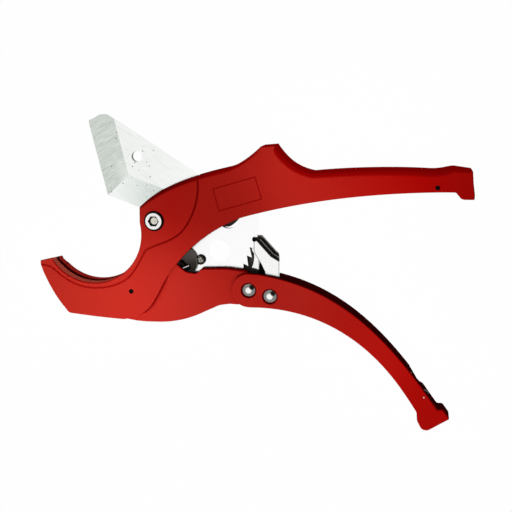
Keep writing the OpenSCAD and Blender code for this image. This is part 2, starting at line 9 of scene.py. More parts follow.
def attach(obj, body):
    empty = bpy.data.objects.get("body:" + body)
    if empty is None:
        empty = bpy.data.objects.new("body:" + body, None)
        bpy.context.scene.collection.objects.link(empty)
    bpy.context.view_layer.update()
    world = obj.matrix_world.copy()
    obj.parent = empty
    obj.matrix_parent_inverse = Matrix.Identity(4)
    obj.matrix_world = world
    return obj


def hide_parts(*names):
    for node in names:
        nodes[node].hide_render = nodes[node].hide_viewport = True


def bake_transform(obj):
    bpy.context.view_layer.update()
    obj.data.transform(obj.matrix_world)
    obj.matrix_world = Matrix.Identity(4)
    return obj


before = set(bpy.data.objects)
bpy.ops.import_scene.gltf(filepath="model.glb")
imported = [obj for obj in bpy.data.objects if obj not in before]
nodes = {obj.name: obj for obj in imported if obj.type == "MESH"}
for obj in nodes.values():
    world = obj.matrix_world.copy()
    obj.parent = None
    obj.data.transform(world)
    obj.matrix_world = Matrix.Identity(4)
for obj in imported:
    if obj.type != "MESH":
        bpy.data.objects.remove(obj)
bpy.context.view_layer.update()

# Millimetres to metres
MM = 0.001

# Sizes shared with the solids, in millimetres. MID is the height of the middle plane

# The casting: jaw, head, upper handle and lobe
BODY_T = 22
MID = BODY_T / 2
SLOT_HALF = 2.7
SEAT = (-46.4, -10)
SEAT_R = 36.5
NECK_X = -10.9
TIP_Y = -31.1
JAW_REACH = 86.5
HANDLE_REACH = 224
HUMP_H = 55.5
LOBE_HALF = 7.4
LOBE_TOP = MID + LOBE_HALF
CHANNEL_WALL = 3.6
CHANNEL_WEB = 5
POCKET_TOP = MID + 5.6
SPRING_POCKET_R = 48
HOLD_POCKET_R = 7.2
HOLD_POCKET_TOP = MID + 5.9

# The blade's outer radius, and the radii that its slot is cut to
TIP_R = 74.2
LOBE_R = TIP_R + 0.9
SECTOR_SLOT_R = TIP_R + 1.6
JAW_SLOT_R = 87.3

# The lower handle, with the part of its length over which it draws in
LOW_REACH = 212.5
HANDLE_END_R = 12.4
CHEEK_T = 3.2
FLOOR_T = 2.4
HANDLE_TAPER = 3
TAPER_START = 90
TAPER_END = LOW_REACH + 10

# Axes and holes
HANDLE_AXIS = (68.4, -48.6)
PAWL_AXIS = (83.7, -52.6)
STOP_AXIS = (-18, -52)
CATCH_AXIS = (HANDLE_REACH - 25, 27)
SCREW_AXIS = (32, -28.6)
ANCHOR_AXIS = (18.6, -30.1)
ANCHOR_RIVET_AXIS = (15.2, -22.6)
LATCH_AXIS = (LOW_REACH - 18.5, -122.6)
HANG_HOLE = (-14.3, 45.2)
STOP_HOLE_R = 1.75
CATCH_HOLE_R = 1.65

# Fasteners
RIVET_HEAD_R = 5.2
RIVET_HEAD_H = 2.2
RIVET_RECESS_R = RIVET_HEAD_R + 0.5
RIVET_RECESS = 1.6
RIVET_SUNK = 0.4
HANDLE_RIVET_R = 4
PAWL_RIVET_R = 3
BOLT_R = 5
BOLT_HEAD_R = 6.1
BOLT_TOP = BODY_T + 2.2
BOLT_SEAT = BODY_T - 1
SOCKET_AF = 6
THREAD_R = 4
NUT_AF = 15
NUT_H = 5
NUT_SUNK = 0.4
NUT_TOP = NUT_SUNK + NUT_H
SCREW_R = 1.5
SCREW_HEAD_R = 2.3
SCREW_TOP = MID + 4
LATCH_PIN_R = 1

# Springs and the plate that anchors the return spring
SPRING_R = 9.6
SPRING_WIRE = 1.2
LEG_LOW = MID + 3.5
LEG_HIGH = MID + 6.5
PAWL_WIRE = 0.8
ANCHOR_R = 11.3
ANCHOR_T = 1.2

# Pawls: the front plate's heights, the holding pawl's half thickness, and their hubs
PLATE_LOW = MID + 4.2
PLATE_HIGH = MID + 6.6
PAWL_HUB_R = 5.4
HOLD_HALF = 2
HOLD_HUB_R = 6.8

# Clearance in a bore, and how far a cutter reaches past the face that it cuts
CLEARANCE = 0.05
PAST = 1


def polar(radius, degrees, centre=(0, 0)):
    """The point at that distance and angle from a centre."""
    a = math.radians(degrees)
    return (centre[0] + radius * math.cos(a), centre[1] + radius * math.sin(a))


def arc(centre, radius, start, end, count):
    """Points of an arc, both ends included."""
    return [polar(radius, start + (end - start) * i / count, centre) for i in range(count + 1)]


def curve(p0, p1, p2, p3, count=16):
    """Points of a cubic curve with four control points, without its last point."""
    points = []
    for i in range(count):
        t = i / count
        s = 1 - t
        weights = (s * s * s, 3 * s * s * t, 3 * s * t * t, t * t * t)
        points.append(tuple(sum(w * p[k] for w, p in zip(weights, (p0, p1, p2, p3))) for k in (0, 1)))
    return points


def corner(before, point, after, radius, step=12):
    """Points that round a corner, about one for each step degrees."""
    a, b, c = Vector(before[:2]), Vector(point[:2]), Vector(after[:2])
    u, w = (a - b).normalized(), (c - b).normalized()
    half = u.angle(w) / 2
    centre = b + (u + w).normalized() * radius / math.sin(half)
    start = b + u * radius / math.tan(half) - centre
    turn = 1 if (b - a).cross(c - b) > 0 else -1
    sweep = turn * (180 - 2 * math.degrees(half))
    first = math.degrees(math.atan2(start.y, start.x))
    return arc(centre, radius, first, first + sweep, max(2, math.ceil(abs(sweep) / step)))


def outline(*runs):
    """A closed outline from runs of (points, rim radius). A point's third number is its corner radius.

    Returns the points and the rim radius at each, evened out along the outline.
    """
    raw = [(p, rim) for points, rim in runs for p in points]
    points, rims = [], []
    for i, (p, rim) in enumerate(raw):
        if len(p) == 3:
            made = corner(raw[i - 1][0], p, raw[(i + 1) % len(raw)][0], p[2])
            rim = min(rim, 0.85 * p[2])
        else:
            made = [p]
        points += made
        rims += [rim] * len(made)
    points, rims = np.array(points, float), np.array(rims, float)
    for _ in range(3):
        even = (np.roll(rims, 1) + rims + np.roll(rims, -1)) / 3
        rims = np.minimum(rims, even) * 0.5 + even * 0.5
    return points, rims


def directions(points):
    """The direction along an open run at each of its points."""
    along = np.gradient(np.array(points, float), axis=0)
    return along / np.linalg.norm(along, axis=1)[:, None]


def leftward(along):
    """The direction to the left of each direction."""
    return np.stack([-along[:, 1], along[:, 0]], 1)


def inward(points):
    """Directions into a counter-clockwise outline, longer at corners so that offsets stay even."""
    ahead = np.roll(points, -1, 0) - points
    ahead /= np.linalg.norm(ahead, axis=1)[:, None]
    left = leftward(ahead)
    middle = left + leftward(np.roll(ahead, 1, 0))
    middle /= np.linalg.norm(middle, axis=1)[:, None]
    return middle / np.maximum((middle * left).sum(1), 0.6)[:, None]


def mesh_object(name, verts, faces, material):
    """A mesh piece from points in millimetres."""
    mesh = bpy.data.meshes.new(name)
    mesh.from_pydata([tuple(float(x) * MM for x in v) for v in verts], [], faces)
    mesh.materials.append(material)
    mesh.update()
    piece = bpy.data.objects.new(name, mesh)
    bpy.context.scene.collection.objects.link(piece)
    return piece


def loft(name, rings, material, closed=False):
    """A solid through rings of equal length, with two ends, or joined up with itself where closed."""
    count = len(rings[0])
    verts = [v for ring in rings for v in ring]
    faces = []
    for k in range(len(rings) if closed else len(rings) - 1):
        a, b = k * count, (k + 1) % len(rings) * count
        for i in range(count):
            j = (i + 1) % count
            faces.append((a + i, a + j, b + j, b + i))
    if not closed:
        faces.append(tuple(range(count - 1, -1, -1)))
        last = (len(rings) - 1) * count
        faces.append(tuple(range(last, last + count)))
    return mesh_object(name, verts, faces, material)


def rounded_plate(name, shape, low, high, material, steps=5):
    """A plate between two heights whose rims are rounded by the outline's rim radii."""
    points, rims = shape
    into = inward(points)
    rings = []
    angles = [math.pi / 2 * k / steps for k in range(steps + 1)]
    for a in angles:
        inset = points + into * (rims * (1 - math.sin(a)))[:, None]
        rings.append(np.column_stack([inset, low + rims * (1 - math.cos(a))]))
    for a in angles:
        inset = points + into * (rims * (1 - math.cos(a)))[:, None]
        rings.append(np.column_stack([inset, high - rims * (1 - math.sin(a))]))
    return loft(name, rings, material)


def prism(name, points, low, high, material):
    """A plain plate, used to cut."""
    return loft(name, [[(x, y, z) for x, y in points] for z in (low, high)], material)


def drum(name, centre, radius, low, high, material, sides=48):
    """A round cutter along Z."""
    return prism(name, arc(centre, radius, 0, 360, sides)[:-1], low, high, material)


def hexagon(across):
    """The corners of a regular hexagon about the pivot, by its width across the flats."""
    return arc((0, 0), across / 2 / math.cos(math.pi / 6), 0, 360, 6)[:-1]


def turned(name, centre, profile, material, sides=64):
    """A solid turned about an axis along Z, from (radius, height) points from its bottom to its top."""
    rings = [[(*polar(r, 360 * i / sides, centre), z) for i in range(sides)] for r, z in profile]
    return loft(name, rings, material)


def wire(name, path, diameter, material, sides=12):
    """A round wire along a run of points, with its rings square to the run and not twisted."""
    points = np.array(path, float)
    side = np.cross(directions(points)[0], (0, 0, 1))
    rings = []
    for point, along in zip(points, directions(points)):
        side = side - along * side.dot(along)
        side /= np.linalg.norm(side)
        up = np.cross(along, side)
        turns = [2 * math.pi * i / sides for i in range(sides)]
        rings.append([point + diameter / 2 * (side * math.cos(t) + up * math.sin(t)) for t in turns])
    return loft(name, rings, material)


def bake(piece):
    """Applies a piece's modifiers."""
    graph = bpy.context.evaluated_depsgraph_get()
    mesh = bpy.data.meshes.new_from_object(piece.evaluated_get(graph))
    piece.modifiers.clear()
    piece.data = mesh


def combine(piece, others, operation):
    """Cuts other pieces out of a piece, joins them to it or keeps what they share, and removes them."""
    for other in others:
        step = piece.modifiers.new("step", "BOOLEAN")
        step.object = other
        step.operation = operation
        step.solver = "EXACT"
        step.material_mode = "TRANSFER"
        bake(piece)
        bpy.data.objects.remove(other)


def cut(piece, *cutters):
    """Cuts cutters out of a piece."""
    combine(piece, cutters, "DIFFERENCE")


def smooth(piece, degrees):
    """Smooth shading that keeps flats flat and edges sharper than the angle sharp."""
    piece.data.shade_smooth()
    piece.data.set_sharp_from_angle(angle=math.radians(degrees))
    flats = piece.modifiers.new("flats", "WEIGHTED_NORMAL")
    flats.keep_sharp = True
    flats.weight = 100


def stands_for(piece, body, slot, *replaced, sharp=32):
    """Smooths a piece and hangs it on its body, and hides the nodes it replaces. The slot is not used."""
    smooth(piece, sharp)
    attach(piece, body)
    if replaced:
        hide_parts(*replaced)


# Materials


class Nodes:
    """A node tree with small helpers for what is built in it."""

    def __init__(self, tree):
        self.tree = tree

    def node(self, kind, **settings):
        made = self.tree.nodes.new(kind)
        for key, value in settings.items():
            setattr(made, key, value)
        return made

    def link(self, source, target):
        self.tree.links.new(source, target)

    def grey(self, source, low, high, start=0.3, end=0.7):
        """Maps a source from its range of start to end onto a number from low to high."""
        made = self.node("ShaderNodeMapRange")
        made.inputs["From Min"].default_value = start
        made.inputs["From Max"].default_value = end
        made.inputs["To Min"].default_value = low
        made.inputs["To Max"].default_value = high
        self.link(source, made.inputs["Value"])
        return made.outputs["Result"]

    def pair(self, operation, first, second):
        """A math node of two numbers."""
        made = self.node("ShaderNodeMath", operation=operation)
        self.link(first, made.inputs[0])
        self.link(second, made.inputs[1])
        return made.outputs[0]

    def times(self, first, second):
        """The product of two numbers."""
        return self.pair("MULTIPLY", first, second)

    def larger(self, first, second):
        """The larger of two numbers."""
        return self.pair("MAXIMUM", first, second)

    def product(self, source, vector):
        """The dot product of a vector output with a fixed vector."""
        made = self.node("ShaderNodeVectorMath", operation="DOT_PRODUCT")
        self.link(source, made.inputs[0])
        made.inputs[1].default_value = vector
        return made.outputs["Value"]

    def choose(self, chosen, first, second):
        """The first number where the chooser is 0 and the second where it is 1."""
        made = self.node("ShaderNodeMix")
        for key, value in ((0, chosen), (2, first), (3, second)):
            if isinstance(value, float):
                made.inputs[key].default_value = value
            else:
                self.link(value, made.inputs[key])
        return made.outputs[0]

    def seen(self, *kinds):
        """1 for rays from the camera and of the other kinds named, 0 for the rest."""
        path = self.node("ShaderNodeLightPath")
        shown = path.outputs["Is Camera Ray"]
        for kind in kinds:
            shown = self.larger(shown, path.outputs[f"Is {kind} Ray"])
        return shown


class Shader(Nodes):
    """A material being built: a Principled shader and the places on its surface."""

    def __init__(self, name, **values):
        self.material = bpy.data.materials.new(name)
        self.material.use_nodes = True
        super().__init__(self.material.node_tree)
        self.bsdf = self.tree.nodes["Principled BSDF"]
        for key, value in values.items():
            self.bsdf.inputs[key.replace("_", " ")].default_value = value
        self.coordinates = self.node("ShaderNodeTexCoord")
        self.place = self.coordinates.outputs["Object"]

    def noise(self, scale, detail=3, angle=None, finer=1):
        """Cloudy noise, or with an angle in degrees streaks along it, that many times finer across."""
        made = self.node("ShaderNodeTexNoise")
        made.inputs["Scale"].default_value = scale
        made.inputs["Detail"].default_value = detail
        place = self.place
        if angle is not None:
            spread = self.node("ShaderNodeMapping", vector_type="TEXTURE")
            spread.inputs["Rotation"].default_value = (0, 0, math.radians(angle))
            spread.inputs["Scale"].default_value = (1, 1 / finer, 1)
            self.link(place, spread.inputs["Vector"])
            place = spread.outputs["Vector"]
        self.link(place, made.inputs["Vector"])
        return made.outputs["Fac"]

    def ramp(self, source, stops):
        """A colour ramp with stops of (place, colour)."""
        made = self.node("ShaderNodeValToRGB")
        band = made.color_ramp
        while len(band.elements) < len(stops):
            band.elements.new(1)
        for element, (place, colour) in zip(band.elements, stops):
            element.position = place
            element.color = (*colour, 1)
        self.link(source, made.inputs["Fac"])
        return made.outputs["Color"]

    def mix(self, amount, first, second):
        """One colour or the other by an amount from 0 to 1."""
        made = self.node("ShaderNodeMix", data_type="RGBA")
        for value, key in ((amount, 0), (first, 6), (second, 7)):
            if isinstance(value, tuple):
                made.inputs[key].default_value = (*value, 1)
            else:
                self.link(value, made.inputs[key])
        return made.outputs[2]

    def parts(self, source):
        """The X, Y and Z of a vector."""
        made = self.node("ShaderNodeSeparateXYZ")
        self.link(source, made.inputs["Vector"])
        return made.outputs

    def near(self, point, radius, outside=0, inside=1, soft=0.02):
        """One number within that many millimetres of a point and another outside, with a soft edge."""
        made = self.node("ShaderNodeVectorMath", operation="DISTANCE")
        self.link(self.place, made.inputs[0])
        made.inputs[1].default_value = [x * MM for x in point]
        start, end = (1 - soft) * radius * MM, (1 + soft) * radius * MM
        return self.grey(made.outputs["Value"], inside, outside, start, end)

    def below(self, across, height):
        """1 where the place's product with a vector is under a height in millimetres, and 0 above it."""
        return self.grey(self.product(self.place, across), 1, 0, (height - 0.3) * MM, (height + 0.3) * MM)

    def size(self, number):
        """A number without its sign."""
        made = self.node("ShaderNodeMath", operation="ABSOLUTE")
        self.link(number, made.inputs[0])
        return made.outputs[0]

    def slope(self):
        """How far a surface faces the front or the back: 1 on a flat face, 0 on an upright wall."""
        return self.size(self.parts(self.coordinates.outputs["Normal"])["Z"])

    def specks(self, scale, share):
        """Small sparse dots: 1 in a dot, 0 elsewhere. A lower share keeps fewer of them."""
        cells = self.node("ShaderNodeTexVoronoi")
        cells.inputs["Scale"].default_value = scale
        self.link(self.place, cells.inputs["Vector"])
        dots = self.grey(cells.outputs["Distance"], 1, 0, 0.07, 0.15)
        return self.times(dots, self.grey(self.noise(70, 2), 0, 1, 0.66 - share, 0.7 - share))

    def bump(self, source, strength, distance):
        """Fine relief on the surface, its distance in metres."""
        made = self.node("ShaderNodeBump")
        made.inputs["Strength"].default_value = strength
        made.inputs["Distance"].default_value = distance
        self.link(source, made.inputs["Height"])
        self.link(made.outputs["Normal"], self.bsdf.inputs["Normal"])

    def to(self, socket, source):
        """Joins an output to an input of the shader."""
        self.link(source, self.bsdf.inputs[socket])


# Painted light in the paint by place: sheen on the seat's front and back walls and on the lobe, and shade on
# the head's rim
SEAT_SHEEN_COLOUR = (0.58, 0.094, 0.061)
SEAT_BACK_SHEEN_COLOUR = (0.5, 0.026, 0.019)
LOBE_SHEEN_COLOUR = (0.43, 0.021, 0.014)
HEAD_RIM_SHADE_COLOUR = (0.17, 0.001, 0.001)
LOBE_MIDDLE = (15, -62, MID)
HEAD_MIDDLE = (4, 22, MID)
UPWARD = (0.45, 0.9, 0)

# Where along X the paint's stops begin and end, in metres
HANDLE_END_X = 0.19
JAW_X = -0.06


def red_paint(name, stops, rim=None, wall=None, step=None):
    """Smooth satin paint over a casting: colours from the handles' ends to the jaw, with a slow drift, that
    carry a painted sheen, most of it at the jaw.

    Rims and walls that face upward get darker colours, painted shade, and so do steps that face any way. The
    lobe and the seat's walls get a painted sheen, and the head's upward rim a deeper painted shade.
    """
    paint = Shader(name, Metallic=0.0, Specular_IOR_Level=0.0)
    # The colour ramp along X carries a painted sheen, strongest at the jaw
    along = paint.grey(paint.parts(paint.place)["X"], 0, 1, HANDLE_END_X, JAW_X)
    drift = paint.noise(14, 2)
    fade = paint.node("ShaderNodeMath", operation="MULTIPLY_ADD")
    paint.link(drift, fade.inputs[0])
    fade.inputs[1].default_value = 0.3
    paint.link(along, fade.inputs[2])
    colour = paint.ramp(fade.outputs[0], stops)
    if rim or step:
        # Painted sheen on the lobe
        colour = paint.mix(paint.near(LOBE_MIDDLE, 42, soft=0.6), colour, LOBE_SHEEN_COLOUR)
    if step:
        # Painted shade on the sloping faces of steps
        colour = paint.mix(paint.grey(paint.slope(), 1, 0, 0.5, 0.99), colour, step)
    if rim:
        # Painted shade on rims and walls that face upward
        upward = paint.product(paint.coordinates.outputs["Normal"], UPWARD)
        faces_up = paint.grey(upward, 0, 1, 0.1, 0.3)
        colour = paint.mix(faces_up, colour, rim)
        is_wall = paint.times(faces_up, paint.grey(paint.slope(), 1, 0, 0.1, 0.45))
        colour = paint.mix(is_wall, colour, wall)
        # Painted sheen on the seat's walls, less of it on the back half
        upright = paint.grey(paint.slope(), 1, 0, 0.3, 0.5)
        in_seat = paint.times(paint.near((*SEAT, MID), SEAT_R + 1.8), upright)
        at_back = paint.grey(paint.parts(paint.place)["Z"], 1, 0, (MID - 1) * MM, (MID + 1) * MM)
        colour = paint.mix(in_seat, colour, paint.mix(at_back, SEAT_SHEEN_COLOUR, SEAT_BACK_SHEEN_COLOUR))
        # Deeper painted shade on the head's upward rim
        on_head = paint.times(faces_up, paint.near(HEAD_MIDDLE, 30, soft=0.4))
        colour = paint.mix(on_head, colour, HEAD_RIM_SHADE_COLOUR)
    paint.to("Base Color", colour)
    fine = paint.noise(900, 2)
    paint.to("Roughness", paint.grey(fine, 0.5, 0.62))
    paint.bump(paint.noise(500, 2), 0.1, 0.0002)
    return paint.material


def steel(name, dark, light, rough, metallic=1.0, gloss=0.5):
    """Bare, plated or blackened steel with fine variation."""
    metal = Shader(name, Metallic=metallic, Specular_IOR_Level=gloss)
    drift = metal.noise(90, 4)
    metal.to("Base Color", metal.ramp(drift, [(0.3, dark), (0.7, light)]))
    fine = metal.noise(1200, 3)
    metal.to("Roughness", metal.grey(fine, *rough))
    metal.bump(fine, 0.06, 0.0001)
    return metal.material


# Paint of the castings from the handles' ends to the jaw, and darker paint as painted shade on their insides
# and in fine lines in their faces
RED_SHEEN_STOPS = [
    (0.1, (0.41, 0.0015, 0.001)),
    (0.36, (0.415, 0.009, 0.006)),
    (0.56, (0.42, 0.016, 0.0105)),
    (0.85, (0.42, 0.009, 0.006)),
    (1, (0.43, 0.021, 0.013)),
]
INSIDE_SHADE_STOPS = [(0.1, (0.06, 0.002, 0.002)), (1, (0.085, 0.003, 0.002))]
LINE_SHADE_STOPS = [(0.1, (0.21, 0.002, 0.002)), (0.8, (0.21, 0.002, 0.002)), (1, (0.30, 0.005, 0.004))]
FAINT_SHADE_STOPS = [(0.1, (0.30, 0.002, 0.002)), (1, (0.31, 0.006, 0.004))]
# The rim and wall colours are painted shade on rims and walls that face upward, deeper on the lobe and the
# lower handle
RED = red_paint("red_paint", RED_SHEEN_STOPS, (0.31, 0.001, 0.001), (0.40, 0.001, 0.001))
RED_LOBE = red_paint("red_paint_lobe", RED_SHEEN_STOPS, (0.24, 0.001, 0.001), (0.08, 0.001, 0.001))
RED_LOW = red_paint("red_paint_low", RED_SHEEN_STOPS, (0.25, 0.001, 0.001), (0.05, 0.001, 0.001))
RED_STEP_SHADE = red_paint("red_paint_step_shade", RED_SHEEN_STOPS, step=(0.22, 0.001, 0.001))
RED_INSIDE_SHADE = red_paint("red_paint_inside_shade", INSIDE_SHADE_STOPS)
RED_LINE_SHADE = red_paint("red_paint_line_shade", LINE_SHADE_STOPS)
RED_FAINT_SHADE = red_paint("red_paint_faint_shade", FAINT_SHADE_STOPS)

# Steels: dark and light colour, range of roughness, and for blackened ones no metal and little gloss
BRIGHT = steel("bright_steel", (0.80, 0.80, 0.78), (0.92, 0.92, 0.90), (0.2, 0.3))
# The socket steel is painted shade inside the bolt's socket
SOCKET = steel("socket_shade", (0.030, 0.026, 0.020), (0.055, 0.048, 0.040), (0.3, 0.4), 0.0, 0.2)
BRASSY = steel("screw_steel", (0.55, 0.52, 0.43), (0.92, 0.90, 0.80), (0.25, 0.35))
CHROME = steel("chrome_steel", (0.86, 0.86, 0.82), (0.94, 0.94, 0.90), (0.08, 0.12))
# Dark steel serves the nut and the anchor's rivet, and as painted shade behind the blade's hole and the
# holding pawl
DARK = steel("dark_steel", (0.035, 0.029, 0.025), (0.06, 0.05, 0.044), (0.4, 0.55), 0.0, 0.25)
# Black oxide on the stop and catch pins; elsewhere black is painted shade in holes, recesses and behind parts
BLACK = steel("black_oxide_and_shade", (0.002, 0.002, 0.0025), (0.004, 0.004, 0.005), (0.4, 0.5), 0.0, 0.02)
SPRING = steel("spring_steel", (0.006, 0.005, 0.004), (0.012, 0.010, 0.008), (0.35, 0.45), 0.0, 0.08)

# Painted shade for cut walls of stamped plates, the ground faces of the pawls, and dark specks in the blade
WALL_SHADE_COLOUR = (0.020, 0.017, 0.015)
GROUND_DARK = (0.90, 0.90, 0.88)
GROUND_LIGHT = (0.96, 0.96, 0.94)
SPECK_COLOUR = (0.10, 0.10, 0.09)

# Directions of grinding in degrees: on the blade's flats and lower bevel, on its left bevel, and on the pawls
FLAT_GRAIN = -36
BEVEL_GRAIN = 31
PAWL_GRAIN = 70


def plate_steel(name, dark, light, shaded=None, shaded_below=None):
    """Stamped steel plate: pale ground faces, and cut walls painted dark as shade but for those that face
    right along X.

    It is painted dark as shade as well within a radius of the shaded point, or below the shaded line.
    """
    metal = Shader(name, Specular_IOR_Level=0.2)
    grain = metal.noise(320, 4, PAWL_GRAIN, 10)
    face = metal.ramp(grain, [(0.25, dark), (0.75, light)])
    facing = metal.parts(metal.coordinates.outputs["Normal"])
    level = metal.grey(metal.size(facing["Y"]), 1, 0, 0.1, 0.14)
    sideways = metal.times(level, metal.grey(facing["X"], 0, 1, 0, 0.05))
    upright = metal.grey(metal.slope(), 1, 0, 0.92, 0.96)
    # Painted shade on the cut walls, kept off those that face right along X
    is_wall = metal.times(upright, metal.grey(sideways, 1, 0, 0, 1))
    if shaded:
        is_wall = metal.larger(is_wall, metal.near(*shaded))
    if shaded_below:
        is_wall = metal.larger(is_wall, metal.below(*shaded_below))
    metal.to("Base Color", metal.mix(is_wall, face, WALL_SHADE_COLOUR))
    metal.to("Metallic", metal.grey(is_wall, 1, 0, 0, 1))
    metal.to("Roughness", metal.grey(grain, 0.2, 0.3))
    metal.bump(grain, 0.04, 0.0001)
    return metal.material


def blade_steel(name):
    """Ground steel: near white flats, paler on the sector as painted light, greyer bevels in part painted
    shade, grinding lines and dark specks.

    The cut walls between the teeth and in the hanging hole are painted dark as shade. Places along X and Y
    are in metres.
    """
    metal = Shader(name, Specular_IOR_Level=0.2)
    lines = metal.noise(120, 4, FLAT_GRAIN, 8)
    streaks = metal.noise(120, 5, BEVEL_GRAIN, 8)
    along = metal.parts(metal.place)
    facing = metal.parts(metal.coordinates.outputs["Normal"])
    slope = metal.slope()
    # The flats are paler on the sector than on the upper blade: painted light
    upper = metal.ramp(lines, [(0.25, (0.80, 0.83, 0.80)), (0.75, (0.93, 0.945, 0.925))])
    sector = metal.ramp(lines, [(0.25, (0.94, 0.945, 0.94)), (0.75, (0.98, 0.985, 0.98))])
    flat = metal.mix(metal.grey(along["X"], 0, 1, 0, 0.04), upper, sector)
    # The bevels are greyer than the flats, in part painted shade: the left bevel darker than the lower one,
    # and the lower one darker towards the head
    left_bevel = metal.ramp(streaks, [(0.3, (0.53, 0.57, 0.53)), (0.7, (0.70, 0.74, 0.70))])
    near_point = metal.ramp(lines, [(0.25, (0.83, 0.86, 0.84)), (0.75, (0.93, 0.95, 0.935))])
    near_head = metal.ramp(lines, [(0.25, (0.60, 0.66, 0.62)), (0.75, (0.76, 0.80, 0.77))])
    low_bevel = metal.mix(metal.grey(along["X"], 0, 1, -0.03, -0.004), near_point, near_head)
    bevel = metal.mix(metal.grey(facing["Y"], 1, 0, -0.065, -0.05), left_bevel, low_bevel)
    is_bevel = metal.times(metal.grey(slope, 0, 1, 0.85, 0.9), metal.grey(slope, 1, 0, 0.9970, 0.9985))
    colour = metal.mix(is_bevel, flat, bevel)
    specks = metal.times(metal.specks(260, 0.25), metal.grey(along["X"], 1, 0, -0.002, 0.002))
    colour = metal.mix(specks, colour, SPECK_COLOUR)
    # Painted shade on the cut walls between the teeth and in the hanging hole
    is_wall = metal.grey(slope, 1, 0, 0.45, 0.6)
    far_out = metal.near((0, 0, MID), 66, 1, 0)
    in_teeth = metal.times(far_out, metal.grey(along["Y"], 1, 0, -0.015, -0.014))
    in_hole = metal.near((*HANG_HOLE, MID), 6)
    dark = metal.times(is_wall, metal.larger(in_teeth, in_hole))
    metal.to("Base Color", metal.mix(dark, colour, WALL_SHADE_COLOUR))
    metal.to("Metallic", metal.grey(dark, 1, 0, 0, 1))
    metal.to("Roughness", metal.grey(lines, 0.14, 0.24))
    metal.bump(lines, 0.05, 0.0001)
    return metal.material


def anchor_steel(name):
    """Dull brown steel, painted darker towards its lower edge as shade, with a pale underside that is painted
    light.
    """
    metal = Shader(name, Metallic=0.0, Specular_IOR_Level=0.2)
    height = metal.parts(metal.place)["Y"]
    stops = [(0, (0.003, 0.002, 0.002)), (0.5, (0.022, 0.016, 0.013)), (1, (0.07, 0.06, 0.054))]
    top = metal.ramp(metal.grey(height, 0, 1, -0.038, -0.024), stops)
    # The underside is painted pale, painted light that keeps its reflection in the blade white
    under = metal.grey(metal.parts(metal.coordinates.outputs["Normal"])["Z"], 1, 0, -0.1, 0.6)
    metal.to("Base Color", metal.mix(under, top, GROUND_DARK))
    fine = metal.noise(900, 3)
    metal.to("Roughness", metal.grey(fine, 0.45, 0.6))
    metal.bump(fine, 0.06, 0.0001)
    return metal.material


ANCHOR = anchor_steel("anchor_steel")
BLADE = blade_steel("blade_steel")
# The front plate is painted dark as shade below the handle's cheek, and the holding arm round the handle's
# axis
PLATE = plate_steel("plate_steel", GROUND_DARK, GROUND_LIGHT, shaded_below=((0.16, 1, 0), -24.3))
ARM = plate_steel("arm_steel", GROUND_DARK, GROUND_LIGHT, shaded=((*HANDLE_AXIS, MID + 2), 15))
# A darker copy of the plate steel, painted shade for the pawl's claw and rear plate behind the front plate
SHADED_LAYER = plate_steel("layer_steel_shaded", (0.17, 0.15, 0.12), (0.32, 0.29, 0.25))

# The casting: outline of its full thickness, with the rim radius of each run

SEAT_START = math.degrees(math.acos((NECK_X - SEAT[0]) / SEAT_R))
SEAT_END = -180 + math.degrees(math.asin((SEAT[1] - TIP_Y) / SEAT_R))
STEP_RIM = 0.7
STEP_FILLET_R = 3.4
lobe_step = curve((-24, -73.2), (3, -68.5), (-2, -50.5), (17.2, -29.3), 24)
handle_over = curve((HANDLE_REACH - 14, 41), (206, 41.5), (202, 38.8), (193, 39.2), 8)
handle_over += curve((193, 39.2), (172, 40.3), (140, 39.5), (114, 36.6), 26)
casting_shape = outline(
    ([(-77, TIP_Y + 2.4, 1), (-82.4, TIP_Y + 0.9), (0.2 - JAW_REACH, TIP_Y + 0.2, 0.7)], 0.6),
    (curve((-JAW_REACH, -33.7), (0.8 - JAW_REACH, -38.6), (-77.7, -56.2), (-69.4, -65.5)), 1.4),
    (curve((-69.4, -65.5), (-67.6, -67.5), (-67, -69.6), (-64.5, -70), 6), 1.4),
    (curve((-64.5, -70), (-50, -71.6), (-36, -72.8), (-24, -73.2)), 1.4),
    (lobe_step, STEP_RIM),
    (curve((17.2, -29.3), (30.9, -11.9), (54, 1), (66, 4.4), 20), 1.4),
    (curve((66, 4.4), (112, 17.3), (159, 23.1), (HANDLE_REACH - 13.4, 24), 36), 1.2),
    ([(HANDLE_REACH - 12.8, 23.9, 0.8), (HANDLE_REACH - 9, 19.6, 0.8), (HANDLE_REACH - 7, 19.1, 0.8),
      (HANDLE_REACH - 0.1, 19.1, 1)], 0.8),
    ([(HANDLE_REACH, 22.6), (HANDLE_REACH - 1.2, 31), (HANDLE_REACH - 1.8, 39.2, 1.6)], 1.4),
    (handle_over, 6),
    (curve((114, 36.6), (97, 39.6), (92, 50), (87, HUMP_H - 0.7), 16), 5.5),
    ([(87, HUMP_H - 0.7, 1), (77, HUMP_H - 1.6, 1.6)], 1.4),
    (curve((77, HUMP_H - 1.6), (73, 50), (62, 40.1), (52, 38.2), 16)[1:], 3.2),
    (curve((52, 38.2), (28, 32.6), (7.5, 25.8), (-7.2, 13.3), 20), 4),
    ([(NECK_X, 9.8, 2.4)], 2),
    (arc(SEAT, SEAT_R, SEAT_START, SEAT_END, 60), 1.0),
)
casting = rounded_plate("casting", casting_shape, 0, BODY_T, RED)

# The jaw's end leans: its top is lower at the back. The lean comes in over a short way
JAW_END = (-72, -40)
JAW_LEAN = 2
LEAN_IN = 5
for vertex in casting.data.vertices:
    x, y, z = vertex.co / MM
    if x < JAW_END[0] and y > JAW_END[1]:
        vertex.co.y -= JAW_LEAN * MM * (1 - z / BODY_T) * min(1, (JAW_END[0] - x) / LEAN_IN)

